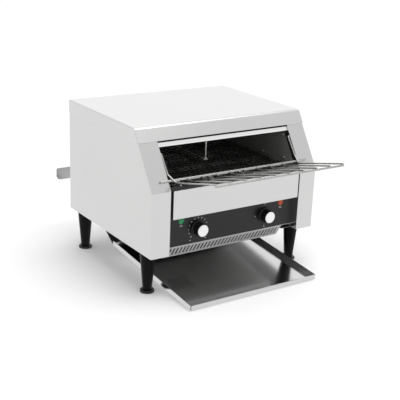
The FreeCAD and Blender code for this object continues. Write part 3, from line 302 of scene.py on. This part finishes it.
def finishOf(name):
    look = finishes[name]
    material = bpy.data.materials.new(name)
    material.use_nodes = True
    tree = material.node_tree
    shader = tree.nodes["Principled BSDF"]
    shader.inputs["Metallic"].default_value = look["metal"]
    if "through" in look:
        shader.inputs["Transmission Weight"].default_value = look["through"]
        shader.inputs["IOR"].default_value = look["ior"]
    shader.inputs["Specular IOR Level"].default_value = look.get("shine", plainShine)
    place = tree.nodes.new("ShaderNodeTexCoord")
    stretch = tree.nodes.new("ShaderNodeMapping")
    stretch.inputs["Scale"].default_value = look["grain"]
    grain = tree.nodes.new("ShaderNodeTexNoise")
    grain.inputs["Scale"].default_value = 1
    grain.inputs["Detail"].default_value = noise["grainDetail"]
    cloud = tree.nodes.new("ShaderNodeTexNoise")
    cloud.inputs["Scale"].default_value = look["cloud"]
    cloud.inputs["Detail"].default_value = noise["cloudDetail"]
    blend = tree.nodes.new("ShaderNodeMix")
    blend.data_type = "FLOAT"
    blend.inputs[0].default_value = noise["cloudShare"]
    colours = tree.nodes.new("ShaderNodeValToRGB")
    colours.color_ramp.elements[0].position = noise["from"]
    colours.color_ramp.elements[1].position = noise["to"]
    for element, colour in zip(colours.color_ramp.elements, look["colour"]):
        element.color = (*colour, 1)
    roughs = tree.nodes.new("ShaderNodeMapRange")
    roughs.inputs["From Min"].default_value = noise["from"]
    roughs.inputs["From Max"].default_value = noise["to"]
    roughs.inputs["To Min"].default_value, roughs.inputs["To Max"].default_value = look["rough"]
    bump = tree.nodes.new("ShaderNodeBump")
    bump.inputs["Strength"].default_value = look["bump"]
    bump.inputs["Distance"].default_value = mm
    link = tree.links.new
    link(place.outputs["Object"], stretch.inputs["Vector"])
    link(place.outputs["Object"], cloud.inputs["Vector"])
    link(stretch.outputs["Vector"], grain.inputs["Vector"])
    link(grain.outputs["Fac"], blend.inputs[2])
    link(cloud.outputs["Fac"], blend.inputs[3])
    link(blend.outputs[0], colours.inputs["Fac"])
    link(blend.outputs[0], roughs.inputs["Value"])
    link(colours.outputs["Color"], shader.inputs["Base Color"])
    link(roughs.outputs["Result"], shader.inputs["Roughness"])
    link(grain.outputs["Fac"], bump.inputs["Height"])
    link(bump.outputs["Normal"], shader.inputs["Normal"])
    return material


made = {name: finishOf(name) for name in finishes}

# Which finish each CAD piece wears
cadFinishes = {
    "caseSteelUp": ["side_panel_left", "side_panel_right"],
    "caseSteelAcross": ["front_plate", "back_panel", "rear_spacer"],
    "baseSteelPaintedShade": ["bottom_panel"],
    "lidSteel": ["top_cover"],
    "lipSteelPaintedLight": ["upper_lip"],
    "panSteel": ["vent_pan"],
    "chamberSteel": ["inner_wall_left", "inner_wall_right"],
    "reflectorSteelPaintedShade": ["upper_reflector", "lower_reflector", "heat_shield"],
    "chuteSteel": ["toast_chute"],
    "traySteel": ["toast_tray"],
    "rackWire": ["loading_rack", "heater_guard"],
    "dividerWirePaintedLight": ["lane_divider"],
    "beltWirePaintedShade": ["conveyor_belt", "belt_rails"],
    "shaftSteel": ["drive_shaft", "idler_shaft", "motor_output_shaft", "drive_sprockets", "idler_sprockets",
                   "driven_sprocket", "motor_sprocket"],
    "chainSteel": ["drive_chain"],
    "sinteredBronze": ["shaft_bushes"],
    "boltSteel": ["leg_bolts", "casing_screws", "speed_control_stem", "selector_stem"],
    "panelBlack": ["control_panel"],
    "legPlastic": ["leg_front_left", "leg_front_right", "leg_rear_left", "leg_rear_right"],
    "footRubber": ["levelling_foot_front_left", "levelling_foot_front_right", "levelling_foot_rear_left",
                   "levelling_foot_rear_right"],
    "knobPlastic": ["speed_knob", "selector_knob", "cable_gland"],
    "capMetal": ["speed_knob_cap", "selector_knob_cap"],
    "fanPlastic": ["fan_frame", "fan_rotor"],
    "switchPlastic": ["speed_control", "selector_switch", "lamp_bodies"],
    "motorPaint": ["gear_motor"],
    "ceramic": ["heater_end_caps"],
    "quartz": ["upper_heater_tubes", "lower_heater_tubes"],
    "greenLens": ["power_lamp_lens"],
    "orangeLens": ["heating_lamp_lens"],
    "terminalPlastic": ["terminal_block"],
}
for finishName, nodeNames in cadFinishes.items():
    for nodeName in nodeNames:
        for slot in nodes[nodeName].material_slots:
            slot.material = made[finishName]
print("finishes made and worn by the CAD pieces")


# Wire belt: each strand crosses the belt and hooks round the strand behind it
belt = {
    "rows": 50,
    "joints": 25,
    "wire": 0.7,
    "inside": 1.0,
    "hook": 2.6,
    "past": 1.5,
    "lift": 1.1,
    "dipShare": 0.3,
    "tipShare": 0.55,
}


def beltPlace(share, low, high):  # place and outward direction on the belt's loop, share 0 to 1
    radius = (high.z - low.z) / 2
    straight = (high.y - low.y) - 2 * radius
    middle = (high.z + low.z) / 2
    line = radius - belt["inside"] * mm
    way = share % 1 * (2 * straight + 2 * math.pi * line)
    front, rear = low.y + radius, high.y - radius
    if way < straight:
        return Vector((0, front + way, middle + line)), Vector((0, 0, 1))
    way -= straight
    if way > math.pi * line and way < math.pi * line + straight:
        return Vector((0, rear - (way - math.pi * line), middle - line)), Vector((0, 0, -1))
    if way < math.pi * line:
        angle = way / line
        out = Vector((0, math.sin(angle), math.cos(angle)))
        return Vector((0, rear, middle)) + out * line, out
    angle = math.pi + (way - math.pi * line - straight) / line
    out = Vector((0, math.sin(angle), math.cos(angle)))
    return Vector((0, front, middle)) + out * line, out


def makeBelt():
    low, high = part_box("conveyor_belt")
    half = high.x - belt["wire"] * mm
    hook, past, lift = (belt[key] * mm for key in ("hook", "past", "lift"))
    lines = []
    for row in range(belt["rows"]):
        here, out = beltPlace(row / belt["rows"], low, high)
        there, outThere = beltPlace((row - 1) / belt["rows"], low, high)
        back = (there - here).normalized()
        end = there + back * past + (outThere * lift if row % 2 else outThere * -lift * belt["dipShare"])
        line = []
        for joint in range(belt["joints"]):
            x = -half + 2 * half * joint / (belt["joints"] - 1)
            x = max(-half + hook, min(half - hook, x))
            tip = hook * belt["tipShare"]
            line += [here + Vector((x - hook, 0, 0)), end + Vector((x - tip, 0, 0)),
                     end + Vector((x + tip, 0, 0)), here + Vector((x + hook, 0, 0))]
        lines.append(line)
    piece = wires("wireBelt", lines, belt["wire"] * mm, 1)
    finished(piece, made["beltWirePaintedShade"], "casing", ["conveyor_belt"], smooth=50)


makeBelt()
print("wire belt made")


# Knobs: a skirt with a groove, a fluted grip and a thin metal cap that is slightly dished
knob = {
    "sides": 96,
    "profile": [(18.9, 0), (19.8, 0.5), (20.0, 1.2), (20.0, 2.4), (19.5, 3.1), (18.6, 3.3), (18.2, 2.7),
                (16.6, 2.7), (16.0, 3.4), (15.7, 5.2), (15.6, 6.2), (15.6, 19.6), (15.3, 20.5), (14.6, 21.0),
                (13.6, 21.0)],
    "flutes": 24,
    "fluteDepth": 0.965,
    "fluteFrom": 6.0,
    "fluteTo": 20.0,
    "fluteOutside": 15.5,
    "capSides": 64,
    "capProfile": [(14.0, 0), (14.2, 0.25), (14.2, 0.95), (13.7, 1.4), (13.0, 1.45), (12.3, 1.15),
                   (6.0, 1.0), (1.2, 1.0)],
}


def makeKnob(node, capNode, body, knobName):
    low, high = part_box(node)
    back = Vector(((low.x + high.x) / 2, high.y, (low.z + high.z) / 2))
    grip = turned(knobName + "Grip", knob["sides"], knob["profile"])
    group = knob["sides"] // knob["flutes"]

    def inFlute(corner):
        around = round(math.atan2(corner.y, corner.x) / (2 * math.pi) * knob["sides"]) % group
        outside = corner.xy.length > knob["fluteOutside"]
        return around == 0 and outside and knob["fluteFrom"] < corner.z < knob["fluteTo"]

    pick(grip, inFlute)
    bpy.ops.transform.resize(value=(knob["fluteDepth"], knob["fluteDepth"], 1), center_override=(0, 0, 0))
    done()
    placed(grip, back, towardsFront)
    finished(grip, made["knobPlastic"], body, [node], smooth=30)
    capLow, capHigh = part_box(capNode)
    cap = turned(knobName + "Cap", knob["capSides"], knob["capProfile"])
    placed(cap, Vector((back.x, capHigh.y, back.z)), towardsFront)
    finished(cap, made["capMetal"], body, [capNode], smooth=30)


makeKnob("speed_knob", "speed_knob_cap", "speed_knob_body", "speedKnob")
makeKnob("selector_knob", "selector_knob_cap", "selector_knob_body", "selectorKnob")
print("knobs made")


# Prints on the control panel: dots and ticks round a dial, minus and plus, plain numbers, a word, a heat sign
prints = {
    "proud": 0.12,
    "sunk": 0.05,
    "edge": 0.03,
    "dotSides": 16,
    "tickEvery": 4,
    "heatStep": 3.0,
    "wordSteps": 3,
    "dialRadius": 26.0,
    "dot": 1.1,
    "speedDots": 13,
    "speedStep": 22.5,
    "speedStart": 225.0,
    "tick": (3.8, 1.2),
    "signAt": (21.0, -27.0),
    "selectorMarks": [("0", 90.0), ("1", 180.0), ("2", 270.0)],
    "selectorRadius": 29.0,
    "numberHeight": 6.6,
    "lampWordHeight": 5.2,
    "lampWordDrop": 13.0,
}


def printDot(x, z, face):
    steps = [(prints["dot"], -prints["sunk"]), (prints["dot"], prints["proud"])]
    dot = turned("dot", prints["dotSides"], steps)
    return placed(dot, Vector((x, face, z)), towardsFront)


def printTick(x, z, face, angle):
    deselectAll()
    length, width = prints["tick"]
    bpy.ops.mesh.primitive_cube_add(size=1, location=(0, 0, 0))
    tick = newPiece("tick")
    bpy.ops.object.mode_set(mode="EDIT")
    bpy.ops.mesh.select_all(action="SELECT")
    bpy.ops.transform.resize(value=(length, width, prints["proud"] + prints["sunk"]))
    bpy.ops.mesh.bevel(offset=prints["edge"], segments=1)
    done()
    spin = Matrix.Rotation(math.pi / 2, 4, "X") @ Matrix.Rotation(angle, 4, "Z")
    return placed(tick, Vector((x, face, z)), spin.to_euler())


def printWord(word, x, z, face, height):
    deselectAll()
    bpy.ops.object.text_add(location=(0, 0, 0))
    text = bpy.context.object
    text.data.body = word
    text.data.size = height
    text.data.extrude = (prints["proud"] + prints["sunk"]) / 2
    text.data.align_x, text.data.align_y = "CENTER", "CENTER"
    text.data.resolution_u = prints["wordSteps"]
    bpy.ops.object.convert(target="MESH")
    letter = cleaned(newPiece("word"))
    return placed(letter, Vector((x, face, z)), towardsFront)


def makePrints():
    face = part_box("control_panel")[0].y
    parts = []
    dial = middleOf("speed_knob")
    for index in range(prints["speedDots"]):
        angle = math.radians(prints["speedStart"] - index * prints["speedStep"])
        x = dial.x + math.cos(angle) * prints["dialRadius"] * mm
        z = dial.z + math.sin(angle) * prints["dialRadius"] * mm
        if index % prints["tickEvery"] == 0:
            parts.append(printTick(x, z, face, angle))
        else:
            parts.append(printDot(x, z, face))
    across, down = (part * mm for part in prints["signAt"])
    for side in (-1, 1):  # less and more, below the dial's ends
        parts.append(printTick(dial.x + side * across, dial.z + down, face, 0))
    parts.append(printTick(dial.x + across, dial.z + down, face, math.pi / 2))
    dial = middleOf("selector_knob")
    for number, degrees in prints["selectorMarks"]:
        angle = math.radians(degrees)
        x = dial.x + math.cos(angle) * prints["selectorRadius"] * mm
        z = dial.z + math.sin(angle) * prints["selectorRadius"] * mm
        parts.append(printWord(number, x, z, face, prints["numberHeight"]))
    lamp = middleOf("power_lamp_lens")
    drop = prints["lampWordDrop"] * mm
    parts.append(printWord("ON", lamp.x, lamp.z - drop, face, prints["lampWordHeight"]))
    lamp = middleOf("heating_lamp_lens")
    for step in (-1, 0, 1):
        parts.append(printTick(lamp.x + step * prints["heatStep"] * mm, lamp.z - drop, face, math.pi / 2))
    piece = joined(parts, "panelPrints")
    finished(piece, made["panelPrint"], "casing")


makePrints()
print("panel prints made")


# Casing screws: pan heads with a cross recess
screw = {
    "head": [(1.9, -8.0), (1.9, 0), (3.6, 0), (3.8, 0.3), (3.8, 0.9), (3.4, 1.6), (2.4, 1.95), (1.0, 2.0)],
    "recess": (3.4, 0.8, 1.1),
    "sides": 24,
    "pillarsY": -168.75,
    "lid": {"y": 411.5, "across": (-200, -70, 70, 200), "up": (366,)},
    "back": {"y": 410, "across": (-228, 228), "up": (125, 235, 345)},
    "spacer": {"y": 412.3, "across": (-139, 139), "up": (163.5, 174.5)},
    "wallX": 186,
    "wall": ((78, 329), (152, 267), (68, 272)),
}


def screwPlaces():  # the numbers above count Y from the pillars' front face
    quarter = math.pi / 2
    places = []
    for group in ("lid", "back", "spacer"):
        rows = screw[group]
        places += [((x, rows["y"], z), (-quarter, 0, 0)) for x in rows["across"] for z in rows["up"]]
    for y, z in screw["wall"]:
        for side in (1, -1):
            places.append(((side * screw["wallX"], y, z), (0, -side * quarter, 0)))
    pillars = Vector((0, screw["pillarsY"], 0))
    return [((Vector(at) + pillars) * mm, turn) for at, turn in places]


def makeScrews():
    master = turned("screw", screw["sides"], screw["head"])
    long, wide, deep = screw["recess"]
    cutters = []
    for turn in (0, math.pi / 2):
        bpy.ops.mesh.primitive_cube_add(size=1, location=(0, 0, 0))
        cutter = newPiece("cutter")
        cutter.scale = (long, wide, 2 * deep)
        cutter.rotation_euler = (0, 0, turn)
        cutter.location = (0, 0, screw["head"][-1][1])
        bpy.ops.object.transform_apply(location=True, rotation=True, scale=True)
        cutters.append(cutter)
    for cutter in cutters:
        applied(master, "BOOLEAN", operation="DIFFERENCE", object=cutter, solver="EXACT")
        bpy.data.objects.remove(cutter)
    piece = copies(master, screwPlaces(), "panHeadScrews")
    finished(piece, made["boltSteel"], "casing", ["casing_screws"], smooth=30)


makeScrews()
print("screws made")


# Coiled heating wire inside the quartz tubes
coil = {
    "radius": 3.3,
    "wire": 0.45,
    "pitch": 4.0,
    "steps": 10,
    "inset": 9.0,
}


def makeCoils(node, tubes, name):
    low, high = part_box(node)
    outer = (high.z - low.z) / 2
    half = high.x - coil["inset"] * mm
    count = int(2 * half / (coil["pitch"] * mm) * coil["steps"])
    lines = []
    for index in range(tubes):
        y = low.y + outer + (high.y - low.y - 2 * outer) * index / (tubes - 1)
        line = []
        for step in range(count + 1):
            angle = 2 * math.pi * step / coil["steps"]
            x = -half + 2 * half * step / count
            line.append((x, y + math.cos(angle) * coil["radius"] * mm,
                         low.z + outer + math.sin(angle) * coil["radius"] * mm))
        lines.append(line)
    piece = wires(name, lines, coil["wire"] * mm, 0)
    finished(piece, made["coilWire"], "casing", smooth=60)


makeCoils("upper_heater_tubes", 4, "upperCoils")
makeCoils("lower_heater_tubes", 3, "lowerCoils")
print("heating coils made")


# Roller chain: inner and outer links in turn round both sprockets
chain = {
    "pitch": 6.35,
    "links": 66,
    "drivenTeeth": 16,
    "motorTeeth": 12,
    "plateHalf": 2.5,
    "innerPlate": (1.6, 2.3),
    "outerPlate": (2.4, 3.1),
    "roller": 1.65,
    "pin": 0.9,
    "pinHalf": 3.4,
    "plateSides": 14,
    "pinSides": 10,
}


def chainPlaces():
    big, small = (chain[key] * chain["pitch"] * mm / (2 * math.pi) for key in ("drivenTeeth", "motorTeeth"))
    drive, motor = middleOf("driven_sprocket"), middleOf("motor_sprocket")
    middle = middleOf("drive_chain")
    away = motor - drive
    distance = math.hypot(away.y, away.z)
    lean = math.asin((big - small) / distance)
    straight = distance * math.cos(lean)
    towards = math.atan2(away.z, away.y)
    low, high = towards - math.pi / 2 + lean, towards + math.pi / 2 - lean
    onBig, onSmall = big * (low + 2 * math.pi - high), small * (high - low)
    places = []
    for link in range(chain["links"]):
        way = link * chain["pitch"] * mm
        if way < onBig:
            centre, radius, angle, along = drive, big, high + way / big, 0
        elif way < onBig + straight:
            centre, radius, angle, along = drive, big, low, way - onBig
        elif way < onBig + straight + onSmall:
            centre, radius, angle, along = motor, small, low + (way - onBig - straight) / small, 0
        else:
            centre, radius, angle, along = motor, small, high, way - onBig - straight - onSmall
        y = centre.y + radius * math.cos(angle) - along * math.sin(angle)
        z = centre.z + radius * math.sin(angle) + along * math.cos(angle)
        places.append(Vector((middle.x, y, z)))
    return places


def chainLink(name, plate, rod, rodHalf):
    parts = []
    reach = chain["pitch"] / 2
    for side in (-1, 1):
        deselectAll()
        bpy.ops.mesh.primitive_circle_add(vertices=chain["plateSides"], radius=chain["plateHalf"],
                                          fill_type="NGON", location=(0, 0, side * plate[0]))
        part = newPiece(name)
        bpy.ops.object.transform_apply(location=True)
        for end in (-1, 1):
            pickEnd(part, end)
            bpy.ops.transform.translate(value=(end * reach, 0, 0))
            done()
        bpy.ops.object.mode_set(mode="EDIT")
        bpy.ops.mesh.select_all(action="SELECT")
        thick = side * (plate[1] - plate[0])
        bpy.ops.mesh.extrude_region_move(TRANSFORM_OT_translate={"value": (0, 0, thick)})
        done()
        parts.append(cleaned(part))
    for end in (-1, 1):
        part = turned(name, chain["pinSides"], [(rod, -rodHalf), (rod, rodHalf)])
        parts.append(placed(part, Vector((end * reach, 0, 0)), (0, 0, 0), 1))
    return joined(parts, name)


def makeChain():
    places = chainPlaces()
    turns = ([], [])
    for link, here in enumerate(places):
        there = places[(link + 1) % len(places)]
        ahead = (there - here).normalized()
        turn = Matrix((ahead, Vector((0, -ahead.z, ahead.y)), Vector((1, 0, 0)))).transposed().to_euler()
        turns[link % 2].append(((here + there) / 2, turn))
    inner = copies(chainLink("innerLink", chain["innerPlate"], chain["roller"], chain["innerPlate"][0]),
                   turns[0], "innerLinks")
    outer = copies(chainLink("outerLink", chain["outerPlate"], chain["pin"], chain["pinHalf"]),
                   turns[1], "outerLinks")
    piece = joined([inner, outer], "rollerChain")
    finished(piece, made["chainSteel"], "casing", ["drive_chain"], smooth=40)


makeChain()
print("roller chain made")


# Hoods over the louvres of the back panel, open at the bottom
louvre = {
    "rows": 7,
    "pitch": 14.0,
    "firstZ": 252.0,
    "centreX": 95.0,
    "half": 60.0,
    "radius": 6.2,
    "past": 1.5,
    "sheet": 0.8,
    "rounds": (24, 12),
}


def makeLouvres():
    deselectAll()
    around, rings = louvre["rounds"]
    bpy.ops.mesh.primitive_uv_sphere_add(segments=around, ring_count=rings, radius=louvre["radius"],
                                         location=(0, 0, 0))
    hood = newPiece("hood")
    for end in (-1, 1):
        pickEnd(hood, end)
        bpy.ops.transform.translate(value=(end * (louvre["half"] - louvre["radius"] + louvre["past"]), 0, 0))
        done()
    for normal in ((0, 1, 0), (0, 0, 1)):
        bpy.ops.object.mode_set(mode="EDIT")
        bpy.ops.mesh.select_all(action="SELECT")
        bpy.ops.mesh.bisect(plane_co=(0, 0, 0), plane_no=normal, clear_inner=True)
        done()
    cleaned(hood)
    applied(hood, "SOLIDIFY", thickness=louvre["sheet"], offset=-1)
    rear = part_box("back_panel")[1].y
    places = []
    for side in (-1, 1):
        for row in range(louvre["rows"]):
            z = (louvre["firstZ"] + row * louvre["pitch"]) * mm
            places.append((Vector((side * louvre["centreX"] * mm, rear, z)), (0, 0, 0)))
    piece = copies(hood, places, "louvreHoods")
    finished(piece, made["caseSteelAcross"], "casing", smooth=40)


makeLouvres()
print("louvre hoods made")


# Camera as the photograph was taken
camera = {
    "place": (-1.16049, -1.70296, 0.84752),
    "yaw": 34.984,
    "pitch": 18.775,
    "roll": -2.451,
    "lens": 77.622,
    "shift": (-0.01951, 0.01087),
    "sensor": 36,
    "clip": (0.05, 60),
}


def makeCamera():
    yaw, pitch, roll = (math.radians(camera[key]) for key in ("yaw", "pitch", "roll"))
    ahead = Vector((math.sin(yaw) * math.cos(pitch), math.cos(yaw) * math.cos(pitch), -math.sin(pitch)))
    level = Vector((math.cos(yaw), -math.sin(yaw), 0))
    down = ahead.cross(level)
    right = level * math.cos(roll) + down * math.sin(roll)
    below = down * math.cos(roll) - level * math.sin(roll)
    lens = bpy.data.cameras.new("studioCamera")
    lens.lens = camera["lens"]
    lens.sensor_width = camera["sensor"]
    lens.shift_x, lens.shift_y = camera["shift"]
    lens.clip_start, lens.clip_end = camera["clip"]
    eye = bpy.data.objects.new("studioCamera", lens)
    bpy.context.scene.collection.objects.link(eye)
    turn = Matrix((right, -below, -ahead)).transposed().to_4x4()
    eye.matrix_world = Matrix.Translation(camera["place"]) @ turn
    bpy.context.scene.camera = eye


makeCamera()


# Studio: a pale floor that keeps the shadow and is plain white in reflections, a pale sky, a soft lamp
studio = {
    "floorHalf": 15.0,
    "floorDrop": 0.0001,
    "floorBounce": (0.8, 0.8, 0.8, 1),
    "floorSeen": (1.0, 1.0, 1.0, 1),
    "paperFrom": 0.55,
    "paperTo": 1.5,
    "paperGlow": 1.02,
    "skyLow": (1.0, 1.0, 1.0, 1),
    "skyHigh": (0.70, 0.70, 0.70, 1),
    "bandTowards": (0.52, 0.79, 0.32),
    "bandColour": (0.30, 0.30, 0.30, 1),
    "bandFrom": 0.80,
    "bandTo": 0.98,
    "backdrop": (1, 1, 1, 1),
    "lampAim": (0, 0, 0.2),
    "lamps": [
        {"place": (0.30, -0.20, 2.4), "width": 1.8, "power": 24},
    ],
}


def makeFloor():
    deselectAll()
    bpy.ops.mesh.primitive_plane_add(size=2 * studio["floorHalf"], location=(0, 0, -studio["floorDrop"]))
    floor = newPiece("studioFloor")
    material = bpy.data.materials.new("studioFloor")
    material.use_nodes = True
    tree = material.node_tree
    tree.nodes.remove(tree.nodes["Principled BSDF"])
    path = tree.nodes.new("ShaderNodeLightPath")
    seen = tree.nodes.new("ShaderNodeMath")
    seen.operation = "MAXIMUM"
    shade = tree.nodes.new("ShaderNodeMix")
    shade.data_type = "RGBA"
    shade.inputs[6].default_value = studio["floorBounce"]
    shade.inputs[7].default_value = studio["floorSeen"]
    paper = tree.nodes.new("ShaderNodeBsdfDiffuse")
    glow = tree.nodes.new("ShaderNodeEmission")
    glow.inputs["Strength"].default_value = studio["paperGlow"]
    place = tree.nodes.new("ShaderNodeTexCoord")
    away = tree.nodes.new("ShaderNodeVectorMath")
    away.operation = "LENGTH"
    far = tree.nodes.new("ShaderNodeMapRange")
    far.interpolation_type = "SMOOTHSTEP"
    far.inputs["From Min"].default_value = studio["paperFrom"]
    far.inputs["From Max"].default_value = studio["paperTo"]
    both = tree.nodes.new("ShaderNodeMixShader")
    mirrored = tree.nodes.new("ShaderNodeMixShader")
    link = tree.links.new
    link(path.outputs["Is Camera Ray"], seen.inputs[0])
    link(path.outputs["Is Glossy Ray"], seen.inputs[1])
    link(seen.outputs["Value"], shade.inputs[0])
    link(shade.outputs[2], paper.inputs["Color"])
    link(place.outputs["Object"], away.inputs[0])
    link(away.outputs["Value"], far.inputs["Value"])
    link(far.outputs["Result"], both.inputs["Fac"])
    link(paper.outputs["BSDF"], both.inputs[1])
    link(glow.outputs["Emission"], both.inputs[2])
    link(path.outputs["Is Glossy Ray"], mirrored.inputs["Fac"])
    link(both.outputs["Shader"], mirrored.inputs[1])
    link(glow.outputs["Emission"], mirrored.inputs[2])
    link(mirrored.outputs["Shader"], tree.nodes["Material Output"].inputs["Surface"])
    floor.data.materials.append(material)


def makeSky():
    world = bpy.data.worlds.new("studioSky")
    bpy.context.scene.world = world
    world.use_nodes = True
    tree = world.node_tree
    sky = tree.nodes["Background"]
    place = tree.nodes.new("ShaderNodeTexCoord")
    split = tree.nodes.new("ShaderNodeSeparateXYZ")
    ramp = tree.nodes.new("ShaderNodeValToRGB")
    ramp.color_ramp.elements[0].color = studio["skyLow"]
    ramp.color_ramp.elements[1].color = studio["skyHigh"]
    towards = tree.nodes.new("ShaderNodeVectorMath")
    towards.operation = "DOT_PRODUCT"
    towards.inputs[1].default_value = Vector(studio["bandTowards"]).normalized()
    band = tree.nodes.new("ShaderNodeMapRange")
    band.interpolation_type = "SMOOTHSTEP"
    band.inputs["From Min"].default_value = studio["bandFrom"]
    band.inputs["From Max"].default_value = studio["bandTo"]
    brighter = tree.nodes.new("ShaderNodeMix")
    brighter.data_type = "RGBA"
    brighter.blend_type = "ADD"
    brighter.inputs[7].default_value = studio["bandColour"]
    backdrop = tree.nodes.new("ShaderNodeBackground")
    backdrop.inputs["Color"].default_value = studio["backdrop"]
    path = tree.nodes.new("ShaderNodeLightPath")
    choose = tree.nodes.new("ShaderNodeMixShader")
    link = tree.links.new
    link(place.outputs["Generated"], split.inputs["Vector"])
    link(split.outputs["Z"], ramp.inputs["Fac"])
    link(place.outputs["Generated"], towards.inputs[0])
    link(towards.outputs["Value"], band.inputs["Value"])
    link(band.outputs["Result"], brighter.inputs[0])
    link(ramp.outputs["Color"], brighter.inputs[6])
    link(brighter.outputs[2], sky.inputs["Color"])
    link(path.outputs["Is Camera Ray"], choose.inputs["Fac"])
    link(sky.outputs["Background"], choose.inputs[1])
    link(backdrop.outputs["Background"], choose.inputs[2])
    link(choose.outputs["Shader"], tree.nodes["World Output"].inputs["Surface"])


def makeLamps():
    for number, settings in enumerate(studio["lamps"]):
        light = bpy.data.lights.new("softLamp" + str(number), "AREA")
        light.size = settings["width"]
        light.energy = settings["power"]
        lamp = bpy.data.objects.new(light.name, light)
        bpy.context.scene.collection.objects.link(lamp)
        lamp.location = settings["place"]
        aim = Vector(studio["lampAim"]) - lamp.location
        lamp.rotation_euler = aim.to_track_quat("-Z", "Y").to_euler()


makeFloor()
makeSky()
makeLamps()
bpy.context.scene.view_settings.view_transform = "Standard"
print("camera, floor, sky and lamps stand")

bpy.context.view_layer.update()
